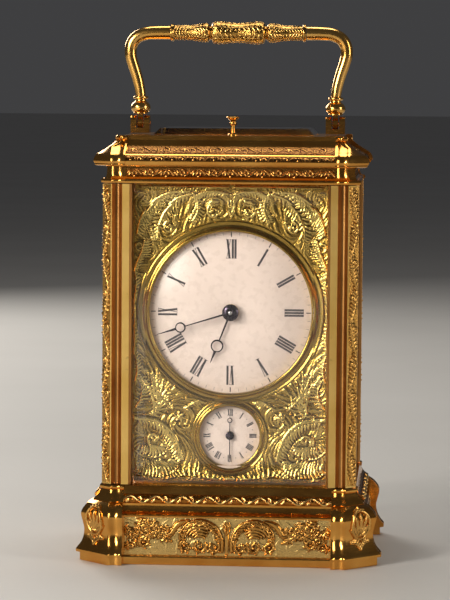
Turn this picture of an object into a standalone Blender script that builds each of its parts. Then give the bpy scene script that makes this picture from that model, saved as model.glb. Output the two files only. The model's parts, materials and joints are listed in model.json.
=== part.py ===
"""Carriage clock with repeat and alarm, in a gorge case.

Run with: blender --background --python part.py
Metres, +Z up. The clock faces -Y. The origin is on the ground at the middle of the base.
"""

import math
from math import cos, pi, radians, sin, sqrt

import bmesh
import bpy
from mathutils import Vector

MM = 0.001
GAP = 0.3 * MM  # kept between pieces that touch
CLOCKWISE = (pi / 2, 0, 0)  # turns a shape's +Z towards the front of the clock

# ---- case -------------------------------------------------------------------------------------
CASE_WIDTH = 85.6 * MM  # over the pillars
CASE_DEPTH = 74.0 * MM
BASE_HEIGHT = 26.0 * MM
PILLAR_LENGTH = 101.0 * MM
TOP_HEIGHT = 15.8 * MM
PILLAR = 10.0 * MM  # side of the square that a pillar fills
CANT = 3.0 * MM  # leg of the pillar's canted corner
GORGE_DEPTH = 1.6 * MM
GORGE_FROM = 0.4 * MM  # arris beside the cant
GORGE_STRIP = 2.4 * MM  # flat strip beside the glass
BLOCK = 7.9 * MM  # width of the corner blocks of the base and the top
BLOCK_HOLLOW = 0.8 * MM
GLASS_EDGE = 1.4 * MM
GLASS_RISE = 1.4 * MM
GLASS_BEVEL = 4.4 * MM
SLOT_FROM = 3.0 * MM  # glass slot, from the pillar's outer face
SLOT_WIDTH = GLASS_EDGE + 2 * GAP
SLOT_DEPTH = 2.0 * MM
BASE_WALL = 5.2 * MM
BASE_LEDGE = 5.0 * MM
BASE_DECK = 5.0 * MM
BASE_PLATE = 2.5 * MM
TOP_DECK = 5.4 * MM
TOP_WALL = 7.2 * MM

HALF_W = CASE_WIDTH / 2
HALF_D = CASE_DEPTH / 2
PILLAR_Z0 = BASE_HEIGHT + GAP
PILLAR_Z1 = PILLAR_Z0 + PILLAR_LENGTH
TOP_Z0 = PILLAR_Z1 + GAP
TOP_Z1 = TOP_Z0 + TOP_HEIGHT
OPENING_X = HALF_W - PILLAR  # inner faces of the pillars
OPENING_Y = HALF_D - PILLAR

# Height above the base's foot, overhang of the corner blocks, overhang of the rails, in millimetres.
BASE_PROFILE = (
    (0.0, 7.4, 4.3),
    (2.6, 7.4, 4.3),
    (2.8, 8.7, 4.2),
    (3.0, 8.75, 3.0),
    (4.0, 8.7, 3.0),
    (5.3, 7.6, 3.0),
    (7.4, 6.4, 3.0),
    (10.4, 5.9, 3.0),
    (13.0, 6.4, 3.0),
    (15.3, 7.0, 3.0),
    (16.5, 6.85, 3.7),
    (17.6, 6.4, 2.3),
    (19.3, 5.0, 1.5),
    (20.3, 3.5, 2.3),
    (21.2, 2.6, 2.6),
    (22.9, 1.0, 1.3),
    (24.6, 0.1, 0.0),
    (24.8, 0.6, 0.0),
    (26.0, 0.6, 0.0),
)
# The same for the top, above its underside.
TOP_PROFILE = (
    (0.0, 0.6, 0.1),
    (1.3, 0.6, 0.1),
    (1.5, -0.7, -0.9),
    (3.3, -1.35, -1.9),
    (5.5, -1.4, -2.0),
    (5.7, 2.5, 1.1),
    (6.5, 3.0, 1.6),
    (7.1, 3.2, 1.9),
    (8.3, 3.0, 1.5),
    (9.6, 1.9, 0.0),
    (11.1, -0.5, -3.3),
    (12.5, -2.6, -5.0),
    (14.2, -4.3, -5.9),
    (14.5, -4.0, -5.9),
    (15.8, -4.3, -5.9),
)

# ---- top glass, handle and repeat button --------------------------------------------------------
TOP_GLASS_X = CASE_WIDTH - 31.6 * MM
TOP_GLASS_Y = CASE_DEPTH - 33.0 * MM
TOP_GLASS_THICK = 4.8 * MM
TOP_GLASS_PROUD = 2.3 * MM
TOP_GLASS_BEVEL = 1.9 * MM
TOP_REBATE = 2.4 * MM
HANDLE_X = HALF_W - 9.1 * MM  # middle of the handle to each pivot
PIVOT_RISE = 3.8 * MM
LUG_X = 6.6 * MM
LUG_Y = 5.2 * MM
TONGUE = 1.9 * MM
TONGUE_NECK = 1.2 * MM  # half the tongue's width above its hub
SLOT_SIDE = 0.35 * MM  # play on each side of the handle's tongue
HANDLE_PIN_R = 0.8 * MM
PIVOT_Z = TOP_Z1 + PIVOT_RISE
GRIP_RISE = 31.1 * MM  # pivot to the middle of the grip
GRIP_HALF = HANDLE_X - 10.0 * MM
BUTTON_Y = -TOP_GLASS_Y / 2 - 3.5 * MM
BUTTON_STEM_R = 0.8 * MM
BUTTON_RISE = 6.5 * MM
BUTTON_TRAVEL = 2.0 * MM

# ---- rear door ----------------------------------------------------------------------------------
DOOR_THICK = 3.0 * MM
DOOR_RECESS = 0.9 * MM
DOOR_RAIL = 5.5 * MM
DOOR_REBATE = 1.6 * MM
DOOR_PIN_R = 0.8 * MM
DOOR_PIN_LENGTH = 2.0 * MM

# ---- dials and hands ----------------------------------------------------------------------------
DIAL_Z = 84.1 * MM
ALARM_Z = 42.3 * MM
DIAL_SIGHT_R = 27.3 * MM
DIAL_R = DIAL_SIGHT_R + 1.4 * MM
BEZEL_R = DIAL_SIGHT_R + 3.6 * MM
BEZEL_FLANGE = 2.3 * MM  # how far a bezel overlaps the mask
ALARM_SIGHT_R = 10.15 * MM
ALARM_DIAL_R = ALARM_SIGHT_R + 1.15 * MM
ALARM_BEZEL_R = ALARM_SIGHT_R + 2.85 * MM
DIAL_THICK = 1.2 * MM
MASK_THICK = 1.2 * MM
MASK_Y = -HALF_D + 8.2 * MM  # front face
MASK_TOP = PILLAR_Z1 - GAP
DIAL_FOOT_X = OPENING_X - 6.8 * MM
BEZEL_PROUD = 1.2 * MM
DIAL_Y = MASK_Y + MASK_THICK + GAP
DIAL_FOOT_R = 1.4 * MM
HAND_THICK = 0.4 * MM
HOUR_HAND_Y = DIAL_Y - 1.2 * MM
MINUTE_HAND_Y = HOUR_HAND_Y - 1.0 * MM
ALARM_HAND_Y = DIAL_Y - 0.9 * MM
MINUTE_HAND = DIAL_SIGHT_R - 1.1 * MM
HOUR_HAND = DIAL_SIGHT_R - 8.9 * MM
ALARM_HAND = 9.6 * MM
MINUTE_AT = radians(-107.2)  # clockwise from twelve, seen from the front
HOUR_AT = radians(-158.5)
ALARM_AT = 0.0

# ---- movement -----------------------------------------------------------------------------------
PLATE_WIDTH = 2 * (OPENING_X - 2.8 * MM)
PLATE_THICK = 2.4 * MM
PLATE_Z0 = BASE_HEIGHT - BASE_DECK + GAP
PLATE_Z1 = 112.0 * MM
FRONT_PLATE_Y = MASK_Y + 8.4 * MM  # front face
PLATES_APART = 32.0 * MM
MOVEMENT_PILLAR_R = 2.2 * MM
INNER_Y0 = FRONT_PLATE_Y + PLATE_THICK
INNER_Y1 = INNER_Y0 + PLATES_APART
BACK_Y = INNER_Y1 + PLATE_THICK
PIVOT_R = 0.5 * MM
PIVOT_HOLE_R = 0.8 * MM
ARBOR_R = 0.75 * MM
WHEEL_THICK = 1.1 * MM
TOOTH_TIP = 0.7  # of the module, above the pitch circle
TOOTH_ROOT = 1.3
LEAF_TIP = 0.6

BARREL_TEETH, SECOND_LEAVES = 80, 10
SECOND_TEETH, CENTRE_LEAVES = 60, 12
CENTRE_TEETH, THIRD_LEAVES = 64, 8
THIRD_TEETH, CONTRATE_LEAVES = 60, 8
CONTRATE_TEETH, ESCAPE_LEAVES = 48, 6
CANNON_LEAVES, MINUTE_TEETH = 12, 36
MINUTE_LEAVES, HOUR_TEETH = 10, 40
PIN_WHEEL_TEETH, PIN_WHEEL_LEAVES, FLY_LEAVES = 54, 8, 6
BARREL_MODULE = 0.38 * MM
SECOND_MODULE = 0.45 * MM
CENTRE_MODULE = 0.36 * MM
THIRD_MODULE = 0.30 * MM
CONTRATE_MODULE = 0.3 * MM
CANNON_MODULE = 0.40 * MM
PIN_WHEEL_MODULE = 0.32 * MM

BARREL_X = 15.8 * MM
BARREL_Z = 55.0 * MM
DRUM_R = 13.6 * MM
DRUM_LENGTH = 20.0 * MM
WINDING_R = 1.9 * MM
WINDING_SQUARE = 3.0 * MM
CONTRATE_X = -6.0 * MM
CONTRATE_Z = 103.5 * MM
CONTRATE_Y = -4.0 * MM  # front face of the contrate wheel
CROWN_WALL = 0.9 * MM
CROWN_DEPTH = 1.6 * MM  # from its disc to the roots of its teeth
FLY_AT = (16.0 * MM, 94.0 * MM)

# ---- platform escapement --------------------------------------------------------------------------
PLATFORM_X = 34.0 * MM
PLATFORM_THICK = 1.6 * MM
PLATFORM_Z0 = PLATE_Z1 + GAP
PLATFORM_Z1 = PLATFORM_Z0 + PLATFORM_THICK
ESCAPE_R = 4.2 * MM
ESCAPE_TOOTH_COUNT = 15
ESCAPE_Z = PLATFORM_Z1 + 1.8 * MM
LEVER_FROM_ESCAPE = ESCAPE_R + 1.7 * MM
BALANCE_FROM_LEVER = 6.9 * MM
BALANCE_R = 6.6 * MM
BALANCE_Z = PLATFORM_Z1 + 4.3 * MM
HAIRSPRING_Z = BALANCE_Z + 1.5 * MM
COCK_Z = PLATFORM_Z1 + 7.6 * MM

# ---- striking and repeat --------------------------------------------------------------------------
GONG_Z = 58.0 * MM
GONG_Y = BACK_Y + 4.2 * MM
GONG_R0, GONG_R1 = 19.4 * MM, 23.3 * MM
GONG_TURNS = 2.0
GONG_WIRE_R = 0.7 * MM
HAMMER_AT = (24.0 * MM, 34.0 * MM)
HAMMER_HEAD_R = 2.2 * MM
REPEAT_LEVER_AT = (14.0 * MM, 108.0 * MM)
REPEAT_LEVER_Y = FRONT_PLATE_Y - 3.4 * MM


# ---- helpers --------------------------------------------------------------------------------------
def clear_scene():
    for obj in list(bpy.data.objects):
        bpy.data.objects.remove(obj)


def make_collection(name):
    collection = bpy.data.collections.new(name)
    bpy.context.scene.collection.children.link(collection)
    return collection


def make_material(name, colour, roughness, metallic):
    material = bpy.data.materials.new(name)
    material.use_nodes = True
    shader = material.node_tree.nodes["Principled BSDF"]
    shader.inputs["Base Color"].default_value = (*colour, 1)
    shader.inputs["Roughness"].default_value = roughness
    shader.inputs["Metallic"].default_value = metallic
    return material


def add_object(name, data, finish=None, at=(0, 0, 0), turn=(0, 0, 0)):
    """A part when it has a finish, and otherwise a hidden helper for a Boolean."""
    obj = bpy.data.objects.new(name, data)
    obj.location = at
    obj.rotation_euler = turn
    if finish is None:
        obj.hide_render = True
        obj.display_type = "WIRE"
        CUTTERS.objects.link(obj)
    else:
        data.materials.append(finish)
        PARTS.objects.link(obj)
    return obj


def mesh_from(bm, name):
    bmesh.ops.recalc_face_normals(bm, faces=bm.faces)
    mesh = bpy.data.meshes.new(name)
    bm.to_mesh(mesh)
    bm.free()
    mesh.shade_smooth()
    mesh.set_sharp_from_angle(angle=radians(32))
    return mesh


def box(name, low, high, finish=None):
    bm = bmesh.new()
    bmesh.ops.create_cube(bm, size=1)
    low, high = Vector(low), Vector(high)
    bmesh.ops.scale(bm, vec=high - low, verts=bm.verts)
    return add_object(name, mesh_from(bm, name), finish, at=(low + high) / 2)


def outline_mesh(name, outlines, thickness):
    """A flat plate, thickness/2 each side of Z = 0. The first outline is its edge and the others are holes."""
    curve = bpy.data.curves.new(name, "CURVE")
    curve.dimensions = "2D"
    curve.fill_mode = "BOTH"
    curve.extrude = thickness / 2
    for points in outlines:
        spline = curve.splines.new("POLY")
        spline.points.add(len(points) - 1)
        for point, (x, y) in zip(spline.points, points):
            point.co = (x, y, 0, 1)
        spline.use_cyclic_u = True
    return solid_curve_mesh(name, curve)


def solid_curve_mesh(name, curve):
    """The closed mesh of a curve, with its caps welded on."""
    carrier = bpy.data.objects.new(name, curve)
    bpy.context.scene.collection.objects.link(carrier)
    bpy.context.view_layer.update()
    graph = bpy.context.evaluated_depsgraph_get()
    mesh = bpy.data.meshes.new_from_object(carrier.evaluated_get(graph))
    bpy.data.objects.remove(carrier)
    bpy.data.curves.remove(curve)
    bm = bmesh.new()
    bm.from_mesh(mesh)
    bmesh.ops.remove_doubles(bm, verts=bm.verts, dist=1e-6)
    bpy.data.meshes.remove(mesh)
    return mesh_from(bm, name)


def turned(name, profile, segments, finish=None, at=(0, 0, 0), turn=(0, 0, 0), ring=False):
    """A turned piece about its own Z. The profile is (radius, height) from the top down its outer side."""
    mesh = bpy.data.meshes.new(name)
    points = [(radius, 0, height) for radius, height in profile]
    edges = [(i, i + 1) for i in range(len(points) - 1)]
    if ring:
        edges.append((len(points) - 1, 0))
    mesh.from_pydata(points, edges, [])
    obj = add_object(name, mesh, finish, at, turn)
    screw = obj.modifiers.new("Screw", "SCREW")
    screw.steps = screw.render_steps = segments
    screw.use_merge_vertices = True
    screw.merge_threshold = 1e-6
    screw.use_smooth_shade = True
    return obj


def spindle(name, at, steps, segments=12, finish=None):
    """A stepped shaft along Y through at = (x, z). Each step is (radius, from y, to y), front to back."""
    profile = [(0, -steps[0][1])]
    for radius, front, back in steps:
        profile += [(radius, -front), (radius, -back)]
    profile.append((0, -steps[-1][2]))
    return turned(name, profile, segments, finish, at=(at[0], 0, at[1]), turn=CLOCKWISE)


def plate_along_y(name, outlines, front, back, at=(0, 0), finish=None):
    """A flat plate facing the front, from y = front to y = back, with its outlines drawn about at = (x, z)."""
    mesh = outline_mesh(name, outlines, back - front)
    return add_object(name, mesh, finish, at=(at[0], (front + back) / 2, at[1]), turn=CLOCKWISE)


def plate_along_z(name, outlines, low, high, at=(0, 0), finish=None):
    mesh = outline_mesh(name, outlines, high - low)
    return add_object(name, mesh, finish, at=(at[0], at[1], (low + high) / 2))


def boolean(target, other, operation):
    modifier = target.modifiers.new(operation.title() + " " + other.name, "BOOLEAN")
    modifier.operation = operation
    modifier.object = other
    modifier.solver = "EXACT"
    return target


def join(target, *others):
    for other in others:
        boolean(target, other, "UNION")
    return target


def cut(target, *cutters):
    for cutter in cutters:
        boolean(target, cutter, "DIFFERENCE")
    return target


def circle(radius, count=24, centre=(0, 0), start=0.0):
    return [
        (centre[0] + radius * cos(start + 2 * pi * i / count), centre[1] + radius * sin(start + 2 * pi * i / count))
        for i in range(count)
    ]


def rectangle(x0, y0, x1, y1):
    return [(x0, y0), (x1, y0), (x1, y1), (x0, y1)]


def meshing_point(a, from_a, b, from_b, side):
    """Where a third arbor stands, from_a from arbor a and from_b from arbor b; side is +1 or -1."""
    a, b = Vector(a), Vector(b)
    span = (b - a).length
    along = (from_a**2 - from_b**2 + span**2) / (2 * span)
    across = sqrt(from_a**2 - along**2)
    direction = (b - a) / span
    return tuple(a + direction * along + Vector((-direction.y, direction.x)) * across * side)


def pivot_at(name, at):
    empty = bpy.data.objects.new(name, None)
    empty.location = at
    empty.empty_display_size = 5 * MM
    PARTS.objects.link(empty)
    return empty


def hang(empty, *objects):
    """Parents objects to an empty on their joint's axis, where they are."""
    for obj in objects:
        obj.parent = empty
        obj.location = obj.location - empty.location


# ---- gears ------------------------------------------------------------------------------------------
def pitch_radius(teeth, module):
    return teeth * module / 2


def tooth_outline(teeth, module, tip, phase=0.0):
    """Pointed teeth: one tip and one root each. phase is in teeth, from the +X direction."""
    radius = pitch_radius(teeth, module)
    points = []
    for i in range(teeth):
        angle = 2 * pi * (i + phase) / teeth
        points.append(((radius + tip * module) * cos(angle), (radius + tip * module) * sin(angle)))
        angle += pi / teeth
        root = radius - TOOTH_ROOT * module
        points.append((root * cos(angle), root * sin(angle)))
    return points


def crossings(inner, outer, spokes, spoke_width, steps=4):
    """The windows between a wheel's spokes."""
    windows = []
    for i in range(spokes):
        middle = 2 * pi * (i + 0.5) / spokes
        half_out = pi / spokes - spoke_width / 2 / outer
        half_in = pi / spokes - spoke_width / 2 / inner
        rim = [middle - half_out + 2 * half_out * k / steps for k in range(steps + 1)]
        hub = [middle + half_in, middle - half_in]
        windows.append(
            [(outer * cos(a), outer * sin(a)) for a in rim] + [(inner * cos(a), inner * sin(a)) for a in hub]
        )
    return windows


def phase_facing(own, other, teeth, tooth_towards):
    """The phase that puts a tooth, or a gap, of a wheel at own on the line to the arbor at other."""
    angle = math.atan2(other[1] - own[1], other[0] - own[0])
    return (angle / (2 * pi) * teeth) % 1 + (0 if tooth_towards else 0.5)


def wheel(name, at, teeth, module, front, phase, hub=2.2 * MM, spokes=4, spoke_width=1.3 * MM):
    root = pitch_radius(teeth, module) - TOOTH_ROOT * module
    rim = root - 1.3 * MM
    outlines = [tooth_outline(teeth, module, TOOTH_TIP, phase)] + crossings(hub, rim, spokes, spoke_width)
    return plate_along_y(name, outlines, front, front + WHEEL_THICK, at)


def pinion(name, at, leaves, module, front, back, phase):
    return plate_along_y(name, [tooth_outline(leaves, module, LEAF_TIP, phase)], front, back, at)


def gear_distance(teeth, leaves, module):
    return pitch_radius(teeth, module) + pitch_radius(leaves, module)


# ---- the case ---------------------------------------------------------------------------------------
def hollow(start, end, depth, steps):
    """Points of a shallow arc from start to end that sinks by depth to the left of the line between them."""
    start, end = Vector(start), Vector(end)
    chord = end - start
    normal = Vector((-chord.y, chord.x)).normalized()
    return [
        tuple(start + chord * t + normal * depth * (1 - (2 * t - 1) ** 2))
        for t in (i / steps for i in range(steps + 1))
    ]


def corner_plan(block_overhang, rail_overhang):
    """One corner of the case in plan, in the +X +Y quadrant, from the side rail round to the back rail."""
    leg = CANT + max(block_overhang, 1.0 * MM - CANT)
    side, back = HALF_W + block_overhang, HALF_D + block_overhang
    block_x, block_y = HALF_W - BLOCK, HALF_D - BLOCK
    side_face = hollow((side, block_y + 0.7 * MM), (side, back - leg - 0.3 * MM), BLOCK_HOLLOW, 3)
    back_face = hollow((side - leg - 0.3 * MM, back), (block_x + 0.7 * MM, back), BLOCK_HOLLOW, 3)
    return (
        [(HALF_W + rail_overhang, block_y), (side, block_y)]
        + side_face
        + [(side, back - leg), (side - leg, back)]
        + back_face
        + [(block_x, back), (block_x, HALF_D + rail_overhang)]
    )


def moulding(name, profile, bottom, total, finish):
    """A solid of that total height whose plan follows the case, with canted corner blocks, up the profile."""
    bm = bmesh.new()
    rings = []
    stretch = total / profile[-1][0]
    for height, block, rail in profile:
        corner = corner_plan(block * MM, rail * MM)
        plan = (
            corner
            + [(-x, y) for x, y in reversed(corner)]
            + [(-x, -y) for x, y in corner]
            + [(x, -y) for x, y in reversed(corner)]
        )
        rings.append([bm.verts.new((x, y, bottom + height * stretch)) for x, y in plan])
    count = len(rings[0])
    for low, high in zip(rings, rings[1:]):
        for i in range(count):
            j = (i + 1) % count
            bm.faces.new((low[i], low[j], high[j], high[i]))
    bm.faces.new(list(reversed(rings[0])))
    bm.faces.new(rings[-1])
    return add_object(name, mesh_from(bm, name), finish)


def build_base():
    base = moulding("base_frame", BASE_PROFILE, 0, BASE_HEIGHT, GILT)
    cavity_x, cavity_y = HALF_W - BASE_WALL, HALF_D - BASE_WALL
    cavity = box(
        "base_cavity",
        (-cavity_x, -cavity_y, -5 * MM),
        (cavity_x, cavity_y, BASE_HEIGHT - BASE_DECK),
    )
    well_x, well_y = cavity_x - BASE_LEDGE, cavity_y - BASE_LEDGE
    well = box("base_well", (-well_x, -well_y, BASE_HEIGHT - 2 * BASE_DECK), (well_x, well_y, BASE_HEIGHT + 5 * MM))
    cut(base, cavity, well, door_pin_hole("base_pin_hole", BASE_HEIGHT - DOOR_PIN_LENGTH - 2 * GAP, PILLAR_Z0 + 1 * MM))
    plate_top = BASE_HEIGHT - BASE_DECK - GAP
    box(
        "base_plate",
        (-cavity_x + GAP, -cavity_y + GAP, plate_top - BASE_PLATE),
        (cavity_x - GAP, cavity_y - GAP, plate_top),
        BRASS,
    )


def pillar_outline(sx, sy, front):
    """Section of a pillar: a canted corner, a hollow on each outer face, and slots for the glasses."""
    inner = PILLAR
    slot0, slot1 = SLOT_FROM, SLOT_FROM + SLOT_WIDTH
    hollow_x = hollow((CANT + GORGE_FROM, 0), (inner - GORGE_STRIP, 0), GORGE_DEPTH, 6)
    hollow_y = hollow((0, inner - GORGE_STRIP), (0, CANT + GORGE_FROM), GORGE_DEPTH, 6)
    slot_x = [(inner, slot0), (inner - SLOT_DEPTH, slot0), (inner - SLOT_DEPTH, slot1), (inner, slot1)]
    slot_y = [(slot1, inner), (slot1, inner - SLOT_DEPTH), (slot0, inner - SLOT_DEPTH), (slot0, inner)]
    section = [(CANT, 0)] + hollow_x + [(inner, 0)] + (slot_x if front else [])
    section += [(inner, inner)] + slot_y + [(0, inner)] + hollow_y + [(0, CANT)]
    return [(sx * (HALF_W - u), sy * (HALF_D - v)) for u, v in section]


def build_pillars():
    for side, sx in (("left", -1), ("right", 1)):
        for end, sy in (("front", -1), ("rear", 1)):
            outline = pillar_outline(sx, sy, end == "front")
            plate_along_z(f"pillar_{end}_{side}", [outline], PILLAR_Z0, PILLAR_Z1, finish=GILT)


def build_top():
    top = moulding("top_frame", TOP_PROFILE, TOP_Z0, TOP_HEIGHT, GILT)
    cavity_x, cavity_y = HALF_W - TOP_WALL, HALF_D - TOP_WALL
    cavity = box("top_cavity", (-cavity_x, -cavity_y, TOP_Z0 - 5 * MM), (cavity_x, cavity_y, TOP_Z1 - TOP_DECK))
    glass_x, glass_y = TOP_GLASS_X / 2, TOP_GLASS_Y / 2
    seat = TOP_Z1 - (TOP_GLASS_THICK - TOP_GLASS_PROUD) - GAP
    rebate = box("top_rebate", (-glass_x - GAP, -glass_y - GAP, seat), (glass_x + GAP, glass_y + GAP, TOP_Z1 + 5 * MM))
    window = box(
        "top_window",
        (-glass_x + TOP_REBATE, -glass_y + TOP_REBATE, TOP_Z0),
        (glass_x - TOP_REBATE, glass_y - TOP_REBATE, TOP_Z1),
    )
    stem_hole = turned(
        "stem_hole",
        [(0, TOP_Z1 + 5 * MM), (BUTTON_STEM_R + GAP, TOP_Z1 + 5 * MM), (BUTTON_STEM_R + GAP, TOP_Z0), (0, TOP_Z0)],
        12,
        at=(0, BUTTON_Y, 0),
    )
    cut(top, cavity, rebate, window, stem_hole)
    cut(top, door_pin_hole("top_pin_hole", PILLAR_Z1 - 1 * MM, TOP_Z0 + DOOR_PIN_LENGTH + GAP))
    bevelled_glass("top_glass", TOP_GLASS_X, TOP_GLASS_Y, TOP_GLASS_THICK - TOP_GLASS_BEVEL, TOP_GLASS_BEVEL,
                   0, TOP_GLASS_BEVEL, at=(0, 0, seat + GAP), turn=(0, 0, 0))


def bevelled_glass(name, width, height, edge, rise, rim, bevel, at, turn):
    """A pane from Z = 0 up. Its outer face has a flat rim at the edge's height, then a bevel all round."""
    bm = bmesh.new()
    bmesh.ops.create_cube(bm, size=1)
    bmesh.ops.scale(bm, vec=(width, height, edge), verts=bm.verts)
    bmesh.ops.translate(bm, vec=(0, 0, edge / 2), verts=bm.verts)
    outer = [f for f in bm.faces if f.normal.z > 0.9]
    if rim:
        bmesh.ops.inset_region(bm, faces=outer, thickness=rim, use_even_offset=True)
    bmesh.ops.inset_region(bm, faces=outer, thickness=bevel, use_even_offset=True)
    for vert in {v for f in outer for v in f.verts}:
        vert.co.z += rise
    return add_object(name, mesh_from(bm, name), GLASS, at, turn)


def build_side_glasses():
    height = PILLAR_LENGTH - 2 * GAP
    middle = (PILLAR_Z0 + PILLAR_Z1) / 2
    front_width = 2 * (OPENING_X + SLOT_DEPTH - GAP)
    side_width = 2 * (OPENING_Y + SLOT_DEPTH - GAP)
    back_face = SLOT_FROM + GAP + GLASS_EDGE
    bevelled_glass("front_glass", front_width, height, GLASS_EDGE, GLASS_RISE, SLOT_DEPTH, GLASS_BEVEL,
                   at=(0, -HALF_D + back_face, middle), turn=(pi / 2, 0, 0))
    for name, sx in (("left_glass", -1), ("right_glass", 1)):
        bevelled_glass(name, side_width, height, GLASS_EDGE, GLASS_RISE, SLOT_DEPTH, GLASS_BEVEL,
                       at=(sx * (HALF_W - back_face), 0, middle), turn=(pi / 2, 0, sx * pi / 2))


# ---- rear door --------------------------------------------------------------------------------------
DOOR_Y = HALF_D - DOOR_RECESS - DOOR_THICK / 2  # middle of its thickness
DOOR_HALF = OPENING_X - GAP
HINGE_X = DOOR_HALF - DOOR_THICK / 2


def door_pin_hole(name, low, high):
    radius = DOOR_PIN_R + GAP
    return turned(name, [(0, high), (radius, high), (radius, low), (0, low)], 12, at=(HINGE_X, DOOR_Y, 0))


def build_door():
    half = DOOR_THICK / 2
    hinge_side = [
        (HINGE_X + half * cos(a), DOOR_Y + half * sin(a)) for a in (-pi / 2 + pi * i / 8 for i in range(9))
    ]
    outline = [(-DOOR_HALF, DOOR_Y - half)] + hinge_side + [(-DOOR_HALF, DOOR_Y + half)]
    low, high = PILLAR_Z0 + GAP, PILLAR_Z1 - GAP
    frame = plate_along_z("door_frame", [outline], low, high, finish=GILT)
    sight_x, sight_z = DOOR_HALF - DOOR_RAIL, DOOR_RAIL
    window = box("door_window", (-sight_x, DOOR_Y - 5 * MM, low + sight_z), (sight_x, DOOR_Y + 5 * MM, high - sight_z))
    rebate_depth = GLASS_EDGE + GAP
    rebate = box(
        "door_rebate",
        (-sight_x - DOOR_REBATE, DOOR_Y - half - 5 * MM, low + sight_z - DOOR_REBATE),
        (sight_x + DOOR_REBATE, DOOR_Y - half + rebate_depth, high - sight_z + DOOR_REBATE),
    )
    pins = turned(
        "door_pins",
        [
            (0, high + DOOR_PIN_LENGTH),
            (DOOR_PIN_R, high + DOOR_PIN_LENGTH),
            (DOOR_PIN_R, low - DOOR_PIN_LENGTH),
            (0, low - DOOR_PIN_LENGTH),
        ],
        12,
        at=(HINGE_X, DOOR_Y, 0),
    )
    knob_x = -DOOR_HALF + DOOR_RAIL / 2
    knob_z = (PILLAR_Z0 + PILLAR_Z1) / 2
    cut(frame, window, rebate)
    join(frame, pins)
    glass = bevelled_glass(
        "door_glass",
        2 * (sight_x + DOOR_REBATE - GAP),
        high - low - 2 * (sight_z - DOOR_REBATE + GAP),
        GLASS_EDGE - GAP,
        GLASS_RISE,
        DOOR_REBATE,
        GLASS_BEVEL,
        at=(0, DOOR_Y - half + GAP, knob_z),
        turn=(pi / 2, 0, pi),
    )
    face = DOOR_Y + half + GAP
    knob_profile = [(0, 4.6), (1.3, 4.5), (2.2, 3.6), (2.3, 2.8), (1.6, 1.9), (1.0, 1.5), (1.0, 0.7), (1.9, 0.6), (1.9, 0), (0, 0)]
    knob = turned(
        "door_knob",
        [(r * MM, h * MM) for r, h in knob_profile],
        16,
        GILT,
        at=(knob_x, face, knob_z),
        turn=(-pi / 2, 0, 0),
    )
    hang(pivot_at("door_hinge", (HINGE_X, DOOR_Y, 0)), frame, glass, knob)


# ---- handle -------------------------------------------------------------------------------------------
# Middle line of an arm: the share of the way out from the grip's end to the pivot, and of the way up
# from the knuckle to the grip.
ARM_LINE = (
    (1.0, 0.0), (1.02, 0.09), (1.08, 0.22), (1.2, 0.4), (1.32, 0.56), (1.36, 0.69),
    (1.3, 0.82), (1.12, 0.915), (0.84, 0.973), (0.48, 0.996), (0.03, 1.0),
)
ARM_FOOT = 8.6 * MM  # above the pivot
ARM_R0, ARM_R1 = 1.75 * MM, 2.35 * MM
# The turned knuckle at the foot of the arm: radius and height above the pivot.
KNUCKLE = (
    (0, 9.2), (1.9, 9.2), (2.75, 8.7), (2.75, 7.9), (2.05, 7.4), (2.1, 6.9), (3.0, 6.2), (3.35, 5.0),
    (3.1, 3.9), (2.2, 3.1), (0, 3.1),
)
# Half of the turned grip, from its end to its middle: share of its half length and radius.
GRIP_PROFILE = (
    (1.0, 2.6), (0.979, 3.05), (0.937, 3.05), (0.802, 2.55), (0.675, 2.6), (0.532, 3.2), (0.439, 3.25),
    (0.418, 2.7), (0.388, 2.7), (0.363, 3.7), (0.253, 3.85), (0.127, 3.3),
)
LUG_R = LUG_Y / 2


def arm_curve(side):
    curve = bpy.data.curves.new("arm", "CURVE")
    curve.dimensions = "3D"
    curve.bevel_depth = ARM_R1
    curve.bevel_resolution = 3
    curve.use_fill_caps = True
    curve.twist_mode = "MINIMUM"
    spline = curve.splines.new("POLY")
    spline.points.add(len(ARM_LINE) - 1)
    for i, (out, up) in enumerate(ARM_LINE):
        share = i / (len(ARM_LINE) - 1)
        x = GRIP_HALF + out * (HANDLE_X - GRIP_HALF)
        spline.points[i].co = (side * x, 0, PIVOT_Z + ARM_FOOT + up * (GRIP_RISE - ARM_FOOT), 1)
        spline.points[i].radius = (ARM_R0 + (ARM_R1 - ARM_R0) * share) / ARM_R1
    return curve


def lug_outline(radius, bottom, steps=8):
    """A tab with a half-round top of that radius about the pivot, down to bottom, in Y and Z."""
    top = [(radius * cos(pi * i / steps), radius * sin(pi * i / steps)) for i in range(steps + 1)]
    return top + [(-radius, bottom), (radius, bottom)]


def plate_along_x(name, outlines, thickness, at, finish=None):
    """A flat plate across X, whose outlines are drawn in Y and Z about at."""
    mesh = outline_mesh(name, outlines, thickness)
    return add_object(name, mesh, finish, at, turn=(pi / 2, 0, pi / 2))


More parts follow.
